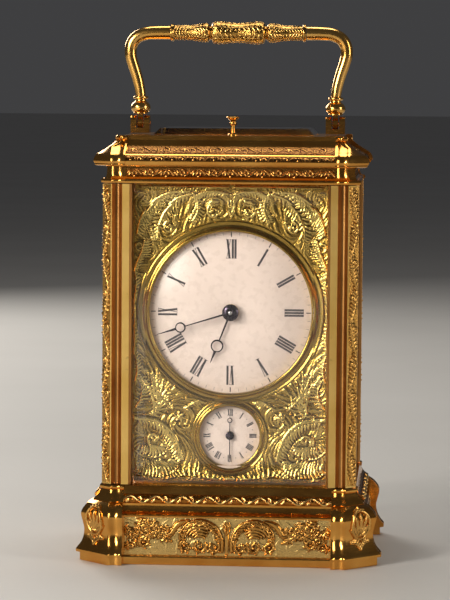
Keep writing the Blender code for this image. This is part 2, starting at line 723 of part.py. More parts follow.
def build_handle():
    moving = []
    for side_name, side in (("left", -1), ("right", 1)):
        centre = (side * HANDLE_X, 0, PIVOT_Z)
        pin_hole = circle(HANDLE_PIN_R + GAP, 12)
        base = -PIVOT_RISE + GAP
        lug = plate_along_x(f"handle_lug_{side_name}", [lug_outline(LUG_R, base), pin_hole], LUG_X, centre, GILT)
        slot_half = TONGUE / 2 + SLOT_SIDE
        slot = box(
            f"lug_slot_{side_name}",
            (centre[0] - slot_half, -10 * MM, PIVOT_Z - TONGUE_NECK - 0.5 * MM),
            (centre[0] + slot_half, 10 * MM, PIVOT_Z + 10 * MM),
        )
        well = plate_along_x(f"lug_well_{side_name}", [circle(LUG_R, 24)], 2 * slot_half, centre)
        cut(lug, slot, well)
        pin_half = LUG_X / 2 - 0.2 * MM
        turned(
            f"handle_pin_{side_name}",
            [(0, pin_half), (HANDLE_PIN_R, pin_half), (HANDLE_PIN_R, -pin_half), (0, -pin_half)],
            12,
            STEEL,
            at=centre,
            turn=(0, pi / 2, 0),
        )
        hub = LUG_R - GAP
        neck_at = math.acos(TONGUE_NECK / hub)
        round_by = pi + 2 * neck_at
        tab = [(hub * cos(neck_at - round_by * i / 18), hub * sin(neck_at - round_by * i / 18)) for i in range(19)]
        tab += [(-TONGUE_NECK, 4.0 * MM), (TONGUE_NECK, 4.0 * MM)]
        tongue = plate_along_x(f"tongue_{side_name}", [tab, pin_hole], TONGUE, centre)
        arm = add_object(f"handle_arm_{side_name}", solid_curve_mesh("arm", arm_curve(side)), GILT)
        knuckle = turned(f"knuckle_{side_name}", [(r * MM, h * MM) for r, h in KNUCKLE], 16, at=centre)
        join(arm, knuckle, tongue)
        moving.append(arm)
    half = [(r * MM, x * GRIP_HALF) for x, r in GRIP_PROFILE]
    profile = [(0, GRIP_HALF)] + half + [(r, -x) for r, x in reversed(half)] + [(0, -GRIP_HALF)]
    moving.append(turned("handle_grip", profile, 16, GILT, at=(0, 0, PIVOT_Z + GRIP_RISE), turn=(0, pi / 2, 0)))
    hang(pivot_at("handle_pivot", (0, 0, PIVOT_Z)), *moving)


# ---- repeat work ----------------------------------------------------------------------------------------
def build_repeat():
    lever_x, lever_z = REPEAT_LEVER_AT
    top = BUTTON_RISE
    stem_end = lever_z + 1.0 * MM + GAP - TOP_Z1
    head = [(0, 6.5), (2.1, 6.45), (2.3, 6.2), (2.1, 5.9), (1.2, 5.2), (0.95, 4.7), (1.2, 4.3), (1.2, 3.7), (0.8, 3.2)]
    profile = [(r * MM, h * MM - 6.5 * MM + top) for r, h in head]
    profile += [(BUTTON_STEM_R, stem_end), (0, stem_end)]
    turned("repeat_button", profile, 14, GILT, at=(0, BUTTON_Y, TOP_Z1))
    tip = -lever_x - 1.2 * MM
    outline = [
        (0, 2.0 * MM), (tip + 2.5 * MM, 0.95 * MM), (tip, 0.95 * MM), (tip, -0.6 * MM), (-2.0 * MM, -1.6 * MM),
        (-1.5 * MM, -14 * MM), (0.5 * MM, -14.5 * MM), (2.2 * MM, 0),
    ]
    half = 0.5 * MM
    lever = plate_along_y("repeat_lever", [outline], REPEAT_LEVER_Y - half, REPEAT_LEVER_Y + half,
                          REPEAT_LEVER_AT, STEEL)
    stud = spindle("repeat_stud", REPEAT_LEVER_AT,
                   [(1.3 * MM, REPEAT_LEVER_Y - 1 * MM, FRONT_PLATE_Y - GAP), (PIVOT_R, FRONT_PLATE_Y - GAP, INNER_Y0)])
    join(lever, stud)


# ---- dials and hands --------------------------------------------------------------------------------------
def dial(name, z, radius, hole):
    front, back = DIAL_Y, DIAL_Y + DIAL_THICK
    profile = [(hole, -front), (radius, -front), (radius, -back), (hole, -back)]
    turned(name, profile, 40, ENAMEL, at=(0, 0, z), turn=CLOCKWISE, ring=True)


def bezel(name, z, sight, seat, rim, segments):
    """A ring that lines an opening of the mask: a bead beside the sight, a lower band, a seat behind them."""
    front = MASK_Y - BEZEL_PROUD
    flange_back, back = MASK_Y - GAP, MASK_Y + MASK_THICK
    profile = [
        (sight + 0.9 * MM, -front),
        (sight + 1.3 * MM, -front - 0.35 * MM),
        (rim - 0.5 * MM, -front - 0.45 * MM),
        (rim, -flange_back),
        (seat, -flange_back),
        (seat, -back),
        (sight, -back),
        (sight, -back + 0.4 * MM),
        (sight + 0.3 * MM, -front - 0.1 * MM),
    ]
    return turned(name, profile, segments, GILT, at=(0, 0, z), turn=CLOCKWISE, ring=True)


def build_dials():
    half = OPENING_X - GAP
    low, high = PILLAR_Z0 + GAP, MASK_TOP
    hole, alarm_hole = BEZEL_R - BEZEL_FLANGE, ALARM_BEZEL_R - BEZEL_FLANGE
    outlines = [
        rectangle(-half, low, half, high),
        circle(hole, 48, (0, DIAL_Z)),
        circle(alarm_hole, 32, (0, ALARM_Z)),
    ]
    mask = plate_along_y("dial_mask", outlines, MASK_Y, MASK_Y + MASK_THICK, finish=GILT)
    low_feet, high_feet = DIAL_Z - 51.1 * MM, DIAL_Z + 17.9 * MM
    corners = [(x, z) for z in (low_feet, high_feet) for x in (-DIAL_FOOT_X, DIAL_FOOT_X)]
    for i, at in enumerate(corners):
        foot = spindle(
            f"dial_foot_{i}",
            at,
            [(DIAL_FOOT_R, MASK_Y + MASK_THICK / 2, FRONT_PLATE_Y - GAP)],
            segments=8,
        )
        join(mask, foot)
    dial("main_dial", DIAL_Z, DIAL_R, 2.8 * MM)
    dial("alarm_dial", ALARM_Z, ALARM_DIAL_R, 1.5 * MM)
    bezel("main_bezel", DIAL_Z, DIAL_SIGHT_R, hole - GAP, BEZEL_R, 40)
    alarm_bezel = bezel("alarm_bezel", ALARM_Z, ALARM_SIGHT_R, alarm_hole - GAP, ALARM_BEZEL_R, 32)
    # The larger bezel lies over the top of the smaller one's band, which is cut back to clear it.
    cut(alarm_bezel, plate_along_y("bezel_room", [circle(BEZEL_R + GAP, 64)], MASK_Y - 5 * MM, MASK_Y, (0, DIAL_Z)))


def moon_hand(length, moon_at, moon_r, width, boss):
    """Outlines of a hand with a pierced moon, pointing up, and the holes in it."""
    half = width / 2
    lower = math.asin(min(1, half / moon_r))
    right = [
        (moon_r * sin(a), moon_at - moon_r * cos(a)) for a in (lower + (pi - 2 * lower) * i / 8 for i in range(9))
    ]
    edge = [(boss * cos(a), boss * sin(a)) for a in (pi / 2 + 0.35 + (2 * pi - 0.7) * i / 14 for i in range(15))]
    tip_half = 0.12 * MM
    outline = edge + [(half, moon_at - moon_r * 1.05)] + right + [(tip_half, length), (-tip_half, length)]
    outline += [(-x, y) for x, y in reversed(right)] + [(-half, moon_at - moon_r * 1.05)]
    hole = circle(moon_r - 0.38 * MM, 14, (0, moon_at))
    return [outline, hole]


def build_hands():
    def place(name, outlines, y, at, angle):
        hand = plate_along_y(name, outlines, y - HAND_THICK / 2, y + HAND_THICK / 2, at, BLUED)
        hand.rotation_euler = (pi / 2, angle, 0)
        return hand

    minute = moon_hand(MINUTE_HAND, 17.6 * MM, 1.78 * MM, 0.55 * MM, 2.0 * MM)
    hand = place("minute_hand", minute, MINUTE_HAND_Y, (0, DIAL_Z), MINUTE_AT)
    boss = spindle(
        "minute_boss",
        (0, DIAL_Z),
        [(2.3 * MM, MINUTE_HAND_Y - 0.9 * MM, MINUTE_HAND_Y - 0.5 * MM), (2.9 * MM, MINUTE_HAND_Y - 0.5 * MM, MINUTE_HAND_Y + 0.35 * MM)],
        segments=20,
    )
    join(hand, boss)
    hour_hole = circle(CANNON_PIPE_R + GAP, 12)
    hour = moon_hand(HOUR_HAND, 12.2 * MM, 2.15 * MM, 0.6 * MM, 2.7 * MM)
    place("hour_hand", hour + [hour_hole], HOUR_HAND_Y, (0, DIAL_Z), HOUR_AT)
    alarm = moon_hand(ALARM_HAND * 0.55, ALARM_HAND * 0.38, 0.8 * MM, 0.35 * MM, 1.3 * MM)
    tail = [(0.18 * MM, 0), (0.18 * MM, -ALARM_HAND), (-0.18 * MM, -ALARM_HAND), (-0.18 * MM, 0)]
    hand = place("alarm_hand", alarm, ALARM_HAND_Y, (0, ALARM_Z), ALARM_AT)
    join(hand, plate_along_y("alarm_hand_tail", [tail], ALARM_HAND_Y - 0.16 * MM, ALARM_HAND_Y + 0.16 * MM, (0, ALARM_Z)))


# ---- movement: where the arbors stand, as (x, z) ---------------------------------------------------------
CENTRE = (0.0, DIAL_Z)
GOING_BARREL = (-BARREL_X, BARREL_Z)
STRIKE_BARREL = (BARREL_X, BARREL_Z)
SECOND = meshing_point(
    GOING_BARREL,
    gear_distance(BARREL_TEETH, SECOND_LEAVES, BARREL_MODULE),
    CENTRE,
    gear_distance(SECOND_TEETH, CENTRE_LEAVES, SECOND_MODULE),
    1,
)
STRIKE_SECOND = (-SECOND[0], SECOND[1])
CONTRATE = (CONTRATE_X, CONTRATE_Z)
THIRD = meshing_point(
    CENTRE,
    gear_distance(CENTRE_TEETH, THIRD_LEAVES, CENTRE_MODULE),
    CONTRATE,
    gear_distance(THIRD_TEETH, CONTRATE_LEAVES, THIRD_MODULE),
    1,
)
MINUTE_ARBOR = (
    gear_distance(MINUTE_TEETH, CANNON_LEAVES, CANNON_MODULE) * cos(radians(-50)),
    DIAL_Z + gear_distance(MINUTE_TEETH, CANNON_LEAVES, CANNON_MODULE) * sin(radians(-50)),
)
HOUR_MODULE = 2 * gear_distance(MINUTE_TEETH, CANNON_LEAVES, CANNON_MODULE) / (HOUR_TEETH + MINUTE_LEAVES)
PIN_WHEEL = meshing_point(
    STRIKE_SECOND,
    gear_distance(SECOND_TEETH, PIN_WHEEL_LEAVES, SECOND_MODULE),
    FLY_AT,
    gear_distance(PIN_WHEEL_TEETH, FLY_LEAVES, PIN_WHEEL_MODULE),
    -1,
)
CONTRATE_R = pitch_radius(CONTRATE_TEETH, CONTRATE_MODULE)
CANNON_PIPE_R = 1.5 * MM
HOUR_PIPE_R = 2.3 * MM
PIN_WHEEL_FROM = -8.6 * MM


def build_plates():
    half = PLATE_WIDTH / 2
    edge = rectangle(-half, PLATE_Z0, half, PLATE_Z1)
    small = [SECOND, THIRD, CONTRATE, STRIKE_SECOND, PIN_WHEEL, FLY_AT]
    posts = [(sx * (half - 3.6 * MM), z) for sx in (-1, 1) for z in (PLATE_Z0 + 6 * MM, PLATE_Z1 - 5 * MM)]
    front_holes = [circle(PIVOT_HOLE_R, 8, at) for at in small + [MINUTE_ARBOR, REPEAT_LEVER_AT, HAMMER_AT]]
    front_holes += [circle(WINDING_R * 0.6 + GAP, 10, at) for at in (GOING_BARREL, STRIKE_BARREL)]
    back_holes = [circle(PIVOT_HOLE_R, 8, at) for at in small]
    back_holes += [circle(WINDING_R + GAP, 12, at) for at in (GOING_BARREL, STRIKE_BARREL)]
    back_holes += [circle(1.3 * MM, 10, HAMMER_AT)]
    through = [circle(1.2 * MM, 10, at) for at in (CENTRE, (0, ALARM_Z))]
    plate_along_y("front_plate", [edge] + front_holes + through, FRONT_PLATE_Y, INNER_Y0, finish=BRASS)
    plate_along_y("back_plate", [edge] + back_holes + through, INNER_Y1, BACK_Y, finish=BRASS)
    for i, at in enumerate(posts):
        front, back = INNER_Y0 + GAP, INNER_Y1 - GAP
        collar = 1.5 * MM
        spindle(
            f"movement_pillar_{i + 1}",
            at,
            [
                (MOVEMENT_PILLAR_R + 0.6 * MM, front, front + collar),
                (MOVEMENT_PILLAR_R, front + collar, back - collar),
                (MOVEMENT_PILLAR_R + 0.6 * MM, back - collar, back),
            ],
            finish=BRASS,
        )


def barrel(name, at, drum_front, teeth_front, phase):
    """A drum with its toothed rim at one end, bored for the winding arbor."""
    bore = WINDING_R + GAP
    drum_back = drum_front + DRUM_LENGTH
    profile = [(bore, -drum_front), (DRUM_R, -drum_front), (DRUM_R, -drum_back), (bore, -drum_back)]
    drum = turned(name, profile, 32, BRASS, at=(at[0], 0, at[1]), turn=CLOCKWISE, ring=True)
    outlines = [tooth_outline(BARREL_TEETH, BARREL_MODULE, TOOTH_TIP, phase), circle(bore, 32)]
    return join(drum, plate_along_y(name + "_teeth", outlines, teeth_front, teeth_front + 2 * MM, at))


def winding_arbor(name, at):
    shaft = spindle(
        name,
        at,
        [
            (WINDING_R * 0.6, FRONT_PLATE_Y + 0.4 * MM, INNER_Y0 + GAP),
            (WINDING_R, INNER_Y0 + GAP, BACK_Y + 0.6 * MM),
        ],
        finish=STEEL,
    )
    half = WINDING_SQUARE / 2
    square = plate_along_y(name + "_square", [rectangle(-half, -half, half, half)], BACK_Y, BACK_Y + 6 * MM, at)
    return join(shaft, square)


def pivoted(name, at, front, back, finish, arbor_r=ARBOR_R):
    """An arbor between the plates, with a pivot in each plate, bare from front to back for its wheel and pinion."""
    return spindle(
        name,
        at,
        [
            (PIVOT_R, INNER_Y0 - 1.6 * MM, INNER_Y0 + GAP),
            (arbor_r, INNER_Y0 + GAP, front),
            (arbor_r + 0.05 * MM, front, back),
            (arbor_r, back, INNER_Y1 - GAP),
            (PIVOT_R, INNER_Y1 - GAP, INNER_Y1 + 1.6 * MM),
        ],
        segments=8,
        finish=finish,
    )


def build_going_train():
    drum_front = -14.0 * MM
    teeth_front = drum_front + DRUM_LENGTH - 1.0 * MM
    barrel("going_barrel", GOING_BARREL, drum_front, teeth_front, phase_facing(GOING_BARREL, SECOND, BARREL_TEETH, True))
    winding_arbor("going_winding_arbor", GOING_BARREL)

    second_front = 10.6 * MM
    second = pivoted("second_wheel", SECOND, 4 * MM, 12 * MM, BRASS)
    join(
        second,
        pinion("second_pinion", SECOND, SECOND_LEAVES, BARREL_MODULE, teeth_front - 0.6 * MM, teeth_front + 2.6 * MM,
               phase_facing(SECOND, GOING_BARREL, SECOND_LEAVES, False)),
        wheel("second_rim", SECOND, SECOND_TEETH, SECOND_MODULE, second_front,
              phase_facing(SECOND, CENTRE, SECOND_TEETH, True)),
    )

    centre_front = 2.0 * MM
    centre = spindle(
        "centre_wheel",
        CENTRE,
        [
            (0.9 * MM, MINUTE_HAND_Y + 0.35 * MM + GAP, INNER_Y0 + GAP),
            (1.1 * MM, INNER_Y0 + GAP, INNER_Y1 - GAP),
            (0.9 * MM, INNER_Y1 - GAP, BACK_Y + 5.0 * MM),
        ],
        segments=10,
        finish=BRASS,
    )
    join(
        centre,
        pinion("centre_pinion", CENTRE, CENTRE_LEAVES, SECOND_MODULE, second_front - 0.5 * MM, second_front + 1.9 * MM,
               phase_facing(CENTRE, SECOND, CENTRE_LEAVES, False)),
        wheel("centre_rim", CENTRE, CENTRE_TEETH, CENTRE_MODULE, centre_front,
              phase_facing(CENTRE, THIRD, CENTRE_TEETH, True)),
    )

    third_front = 7.4 * MM
    third = pivoted("third_wheel", THIRD, 0.8 * MM, 9 * MM, BRASS)
    join(
        third,
        pinion("third_pinion", THIRD, THIRD_LEAVES, CENTRE_MODULE, centre_front - 0.6 * MM, centre_front + 1.7 * MM,
               phase_facing(THIRD, CENTRE, THIRD_LEAVES, False)),
        wheel("third_rim", THIRD, THIRD_TEETH, THIRD_MODULE, third_front, phase_facing(THIRD, CONTRATE, THIRD_TEETH, True),
              hub=1.8 * MM, spoke_width=1.0 * MM),
    )

    contrate = pivoted("contrate_wheel", CONTRATE, CONTRATE_Y, 10 * MM, BRASS)
    hub_disc = plate_along_y(
        "contrate_disc",
        [circle(CONTRATE_R + CROWN_WALL / 2 - 0.02 * MM, 40)]
        + crossings(1.7 * MM, CONTRATE_R - CROWN_WALL / 2 - 0.5 * MM, 4, 0.9 * MM),
        CONTRATE_Y,
        CONTRATE_Y + 0.8 * MM,
        CONTRATE,
    )
    join(
        contrate,
        pinion("contrate_pinion", CONTRATE, CONTRATE_LEAVES, THIRD_MODULE, third_front - 0.6 * MM, third_front + 1.7 * MM,
               phase_facing(CONTRATE, THIRD, CONTRATE_LEAVES, False)),
        hub_disc,
        crown_teeth(),
    )


def crown_teeth():
    """The contrate wheel's rim: a ring whose rear edge is cut into pointed teeth that face along its axis."""
    bm = bmesh.new()
    inner, outer = CONTRATE_R - CROWN_WALL / 2, CONTRATE_R + CROWN_WALL / 2
    floor = CONTRATE_Y + 0.3 * MM
    root = CONTRATE_Y + CROWN_DEPTH
    tip = root + (TOOTH_TIP + TOOTH_ROOT) * CONTRATE_MODULE
    rings = []
    for i in range(2 * CONTRATE_TEETH):
        angle = pi / 2 + pi * i / CONTRATE_TEETH
        edge = tip if i % 2 == 0 else root
        rings.append([
            bm.verts.new((radius * cos(angle), -y, radius * sin(angle)))
            for radius, y in ((inner, -floor), (outer, -floor), (outer, -edge), (inner, -edge))
        ])
    for i, ring in enumerate(rings):
        after = rings[(i + 1) % len(rings)]
        for k in range(4):
            bm.faces.new((ring[k], ring[(k + 1) % 4], after[(k + 1) % 4], after[k]))
    return add_object("crown_teeth", mesh_from(bm, "crown_teeth"), at=(CONTRATE[0], 0, CONTRATE[1]))


def build_motion_work():
    cannon_front, cannon_back = -23.2 * MM, -21.2 * MM
    minute_front = -22.9 * MM
    hour_front = -25.2 * MM
    bore = 0.9 * MM + GAP
    cannon = turned(
        "cannon_pinion",
        [
            (bore, -(MINUTE_HAND_Y + 0.35 * MM + GAP)),
            (CANNON_PIPE_R, -(MINUTE_HAND_Y + 0.35 * MM + GAP)),
            (CANNON_PIPE_R, -(FRONT_PLATE_Y - GAP)),
            (bore, -(FRONT_PLATE_Y - GAP)),
        ],
        12,
        STEEL,
        at=(0, 0, DIAL_Z),
        turn=CLOCKWISE,
        ring=True,
    )
    leaves = tooth_outline(CANNON_LEAVES, CANNON_MODULE, LEAF_TIP, phase_facing(CENTRE, MINUTE_ARBOR, CANNON_LEAVES, False))
    join(cannon, plate_along_y("cannon_leaves", [leaves, circle(bore + 0.1 * MM, 12)], cannon_front, cannon_back, CENTRE))

    minute = spindle(
        "minute_wheel",
        MINUTE_ARBOR,
        [(0.7 * MM, hour_front - 0.3 * MM, FRONT_PLATE_Y - GAP), (PIVOT_R, FRONT_PLATE_Y - GAP, INNER_Y0 - 0.6 * MM)],
        segments=8,
        finish=BRASS,
    )
    join(
        minute,
        pinion("minute_leaves", MINUTE_ARBOR, MINUTE_LEAVES, HOUR_MODULE, hour_front - 0.2 * MM, minute_front + 0.2 * MM,
               phase_facing(MINUTE_ARBOR, CENTRE, MINUTE_LEAVES, False)),
        plate_along_y(
            "minute_rim",
            [tooth_outline(MINUTE_TEETH, CANNON_MODULE, TOOTH_TIP, phase_facing(MINUTE_ARBOR, CENTRE, MINUTE_TEETH, True))],
            minute_front,
            minute_front + WHEEL_THICK,
            MINUTE_ARBOR,
        ),
    )

    pipe_bore = CANNON_PIPE_R + GAP
    pipe_front = HOUR_HAND_Y + HAND_THICK / 2 + GAP
    hour = turned(
        "hour_wheel",
        [
            (pipe_bore, -pipe_front),
            (HOUR_PIPE_R, -pipe_front),
            (HOUR_PIPE_R, -(hour_front + 1.2 * MM)),
            (pipe_bore, -(hour_front + 1.2 * MM)),
        ],
        16,
        BRASS,
        at=(0, 0, DIAL_Z),
        turn=CLOCKWISE,
        ring=True,
    )
    outlines = [
        tooth_outline(HOUR_TEETH, HOUR_MODULE, TOOTH_TIP, phase_facing(CENTRE, MINUTE_ARBOR, HOUR_TEETH, True)),
        circle(pipe_bore + 0.1 * MM, 16),
    ]
    join(hour, plate_along_y("hour_rim", outlines, hour_front, hour_front + 1.0 * MM, CENTRE))


# ---- platform escapement ------------------------------------------------------------------------------
PINION_Y = CONTRATE_Y + CROWN_DEPTH + TOOTH_ROOT * CONTRATE_MODULE + pitch_radius(ESCAPE_LEAVES, CONTRATE_MODULE)
ESCAPE_AT = (CONTRATE_X, PINION_Y)  # in plan, as (x, y)
LEVER_AT = (ESCAPE_AT[0] + LEVER_FROM_ESCAPE, PINION_Y)
BALANCE_AT = (LEVER_AT[0] + BALANCE_FROM_LEVER, PINION_Y)


def spindle_z(name, at, steps, segments=8, finish=None):
    """A stepped vertical shaft. Each step is (radius, from z, to z), from the top down."""
    profile = [(0, steps[0][1])]
    for radius, high, low in steps:
        profile += [(radius, high), (radius, low)]
    profile.append((0, steps[-1][2]))
    return turned(name, profile, segments, finish, at=(at[0], at[1], 0))


def escape_outline():
    points = []
    for i in range(ESCAPE_TOOTH_COUNT):
        start = 2 * pi * i / ESCAPE_TOOTH_COUNT
        for share, radius in ((0.0, 1.0), (0.16, 0.94), (0.3, 0.72), (0.75, 0.72)):
            angle = start + share * 2 * pi / ESCAPE_TOOTH_COUNT
            points.append((radius * ESCAPE_R * cos(angle), radius * ESCAPE_R * sin(angle)))
    return points


def spiral_outline(inner, outer, turns, width, steps):
    """A flat spiral strip."""
    line = []
    for i in range(int(turns * steps) + 1):
        angle = 2 * pi * i / steps
        line.append((angle, inner + (outer - inner) * i / (turns * steps)))
    out = [((r + width / 2) * cos(a), (r + width / 2) * sin(a)) for a, r in line]
    back = [((r - width / 2) * cos(a), (r - width / 2) * sin(a)) for a, r in reversed(line)]
    return out + back


def pallet_arc(clearance, angles):
    """Points of a pallet's arm that far outside the escape wheel, about the lever's arbor."""
    radius = ESCAPE_R + clearance
    return [(radius * cos(radians(a)) - LEVER_FROM_ESCAPE, radius * sin(radians(a))) for a in angles]


def build_platform():
    half = PLATFORM_X / 2
    front, back = FRONT_PLATE_Y + 0.5 * MM, BACK_Y - 0.5 * MM
    outlines = [rectangle(-half, front, half, back), circle(1.6 * MM, 12, ESCAPE_AT)]
    plate_along_z("platform", outlines, PLATFORM_Z0, PLATFORM_Z1, finish=BRASS)

    pinion_mid = CONTRATE_Z + CONTRATE_R
    escape = spindle_z(
        "escape_wheel",
        ESCAPE_AT,
        [
            (0.3 * MM, ESCAPE_Z + 1.2 * MM, ESCAPE_Z + 0.6 * MM),
            (0.4 * MM, ESCAPE_Z + 0.6 * MM, pinion_mid - 1.2 * MM),
        ],
        finish=BRASS,
    )
    hub = 1.2 * MM
    rim = plate_along_z(
        "escape_rim",
        [escape_outline()] + crossings(hub, ESCAPE_R * 0.6, 4, 0.5 * MM, steps=2),
        ESCAPE_Z - 0.25 * MM,
        ESCAPE_Z + 0.25 * MM,
        ESCAPE_AT,
    )
    leaves = [(y, -x) for x, y in tooth_outline(ESCAPE_LEAVES, CONTRATE_MODULE, 0.5, 0.5)]
    join(escape, rim, plate_along_z("escape_leaves", [leaves], pinion_mid - 0.9 * MM, pinion_mid + 0.9 * MM, ESCAPE_AT))

    fork = [(x * MM, y * MM) for x, y in ((-0.3, 0.8), (3.4, 0.45), (4.6, 0.75), (4.6, 0.35), (4.0, 0))]
    half = pallet_arc(1.5 * MM, (22, 40, 60)) + pallet_arc(0.6 * MM, (62, 40, 20))
    upper = list(reversed(half)) + fork
    outline = upper + [(x, -y) for x, y in reversed(upper[:-1])]
    lever = spindle_z(
        "pallet_lever",
        LEVER_AT,
        [(0.5 * MM, ESCAPE_Z + 1.0 * MM, PLATFORM_Z1 + GAP)],
        finish=STEEL,
    )
    join(lever, plate_along_z("lever_arm", [outline], ESCAPE_Z - 0.2 * MM, ESCAPE_Z + 0.2 * MM, LEVER_AT))

    rim_in = BALANCE_R - 0.9 * MM
    balance = spindle_z(
        "balance_wheel",
        BALANCE_AT,
        [
            (0.3 * MM, COCK_Z - GAP, BALANCE_Z + 0.9 * MM),
            (0.6 * MM, BALANCE_Z + 0.9 * MM, BALANCE_Z - 1.4 * MM),
            (1.2 * MM, BALANCE_Z - 1.4 * MM, BALANCE_Z - 1.8 * MM),
            (0.4 * MM, BALANCE_Z - 1.8 * MM, PLATFORM_Z1 + GAP),
        ],
        finish=BRASS,
    )
    join(
        balance,
        plate_along_z(
            "balance_rim",
            [circle(BALANCE_R, 32)] + crossings(1.5 * MM, rim_in, 2, 1.2 * MM, steps=10),
            BALANCE_Z - 0.5 * MM,
            BALANCE_Z + 0.5 * MM,
            BALANCE_AT,
        ),
    )
    spring = spiral_outline(1.1 * MM, 4.6 * MM, 4.5, 0.22 * MM, 12)
    plate_along_z("hairspring", [spring], HAIRSPRING_Z - 0.25 * MM, HAIRSPRING_Z + 0.25 * MM, BALANCE_AT, STEEL)

    foot_y = BALANCE_AT[1] + BALANCE_R + 3.0 * MM
    foot = [
        (BALANCE_AT[0] - 3.2 * MM, foot_y - 1.6 * MM),
        (BALANCE_AT[0] + 3.2 * MM, foot_y - 1.6 * MM),
        (BALANCE_AT[0] + 3.2 * MM, foot_y + 2.2 * MM),
        (BALANCE_AT[0] - 3.2 * MM, foot_y + 2.2 * MM),
    ]
    cock = plate_along_z("balance_cock", [foot], PLATFORM_Z1 + GAP, COCK_Z + 0.5 * MM, finish=BRASS)
    nose = [(BALANCE_AT[0] + 2.0 * MM * cos(a), BALANCE_AT[1] + 2.0 * MM * sin(a)) for a in (pi + pi * i / 8 for i in range(9))]
    arm = nose + [(BALANCE_AT[0] + 3.0 * MM, foot_y + 2.0 * MM), (BALANCE_AT[0] - 3.0 * MM, foot_y + 2.0 * MM)]
    join(cock, plate_along_z("cock_arm", [arm], COCK_Z, COCK_Z + 1.2 * MM))


# ---- striking -----------------------------------------------------------------------------------------
def build_striking():
    drum_front = INNER_Y1 - 1.0 * MM - DRUM_LENGTH - 1.0 * MM
    teeth_front = drum_front - 1.0 * MM
    barrel("strike_barrel", STRIKE_BARREL, drum_front, teeth_front,
           phase_facing(STRIKE_BARREL, STRIKE_SECOND, BARREL_TEETH, True))
    winding_arbor("strike_winding_arbor", STRIKE_BARREL)

    second_front = -12.6 * MM
    second = pivoted("strike_second_wheel", STRIKE_SECOND, -14 * MM, -5 * MM, BRASS)
    join(
        second,
        pinion("strike_pinion", STRIKE_SECOND, SECOND_LEAVES, BARREL_MODULE, teeth_front - 0.6 * MM, teeth_front + 2.6 * MM,
               phase_facing(STRIKE_SECOND, STRIKE_BARREL, SECOND_LEAVES, False)),
        wheel("strike_rim", STRIKE_SECOND, SECOND_TEETH, SECOND_MODULE, second_front,
              phase_facing(STRIKE_SECOND, PIN_WHEEL, SECOND_TEETH, True)),
    )

    pins = pivoted("pin_wheel", PIN_WHEEL, -14 * MM, -7 * MM, BRASS)
    join(
        pins,
        pinion("pin_wheel_pinion", PIN_WHEEL, PIN_WHEEL_LEAVES, SECOND_MODULE, second_front - 0.5 * MM,
               second_front + 1.7 * MM, phase_facing(PIN_WHEEL, STRIKE_SECOND, PIN_WHEEL_LEAVES, False)),
        wheel("pin_wheel_rim", PIN_WHEEL, PIN_WHEEL_TEETH, PIN_WHEEL_MODULE, PIN_WHEEL_FROM,
              phase_facing(PIN_WHEEL, FLY_AT, PIN_WHEEL_TEETH, True), hub=1.8 * MM, spoke_width=1.0 * MM),
    )

    fly = pivoted("fly", FLY_AT, -10 * MM, 6 * MM, STEEL)
    blade = box(
        "fly_blade",
        (FLY_AT[0] - 5.0 * MM, -2.0 * MM, FLY_AT[1] - 0.3 * MM),
        (FLY_AT[0] + 5.0 * MM, 6.0 * MM, FLY_AT[1] + 0.3 * MM),
    )
    join(
        fly,
        pinion("fly_pinion", FLY_AT, FLY_LEAVES, PIN_WHEEL_MODULE, PIN_WHEEL_FROM - 0.5 * MM, PIN_WHEEL_FROM + 1.6 * MM,
               phase_facing(FLY_AT, PIN_WHEEL, FLY_LEAVES, False)),
        blade,
    )
    build_gong()
    build_hammer()
    spindle(
        "alarm_arbor",
        (0, ALARM_Z),
        [(0.5 * MM, ALARM_HAND_Y + HAND_THICK / 2 + GAP, -24 * MM), (0.9 * MM, -24 * MM, BACK_Y + 3 * MM),
         (2.2 * MM, BACK_Y + 3 * MM, BACK_Y + 4.6 * MM)],
        segments=12,
        finish=STEEL,
    )


def build_gong():
    curve = bpy.data.curves.new("gong", "CURVE")
    curve.dimensions = "3D"
    curve.bevel_depth = GONG_WIRE_R
    curve.bevel_resolution = 1
    curve.use_fill_caps = True
    spline = curve.splines.new("POLY")
    steps = int(22 * GONG_TURNS)
    spline.points.add(steps)
    for i in range(steps + 1):
        angle = -pi / 2 - 2 * pi * GONG_TURNS * i / steps
        radius = GONG_R1 + (GONG_R0 - GONG_R1) * i / steps
        spline.points[i].co = (radius * cos(angle), GONG_Y, GONG_Z + radius * sin(angle), 1)
    gong = add_object("gong", solid_curve_mesh("gong", curve), BLUED)
    foot = GONG_Z - GONG_R1
    block = box("gong_block", (-2.6 * MM, BACK_Y + GAP, foot - 2.4 * MM), (2.6 * MM, GONG_Y + 1.8 * MM, foot + 1.3 * MM))
    join(gong, block)


def build_hammer():
    x, z = HAMMER_AT
    head_x = GONG_R1 + GONG_WIRE_R + HAMMER_HEAD_R + 0.6 * MM
    hammer = spindle(
        "hammer",
        HAMMER_AT,
        [
            (PIVOT_R, INNER_Y0 - 1.6 * MM, INNER_Y0 + GAP),
            (1.0 * MM, INNER_Y0 + GAP, GONG_Y + 1.0 * MM),
        ],
        segments=10,
        finish=STEEL,
    )
    arm = [
        (-0.8 * MM, -2 * MM), (0.8 * MM, -2 * MM), (head_x - x + 0.6 * MM, GONG_Z - z - 0.5 * MM),
        (head_x - x - 0.6 * MM, GONG_Z - z - 0.5 * MM),
    ]
    arm_front = GONG_Y - 0.6 * MM
    head = turned(
        "hammer_head",
        [(0, 2.6 * MM), (HAMMER_HEAD_R * 0.8, 2.6 * MM), (HAMMER_HEAD_R, 1.9 * MM), (HAMMER_HEAD_R, -1.9 * MM),
         (HAMMER_HEAD_R * 0.8, -2.6 * MM), (0, -2.6 * MM)],
        14,
        at=(head_x, GONG_Y, GONG_Z),
    )
    join(hammer, plate_along_y("hammer_arm", [arm], arm_front, arm_front + 1.2 * MM, HAMMER_AT), head)


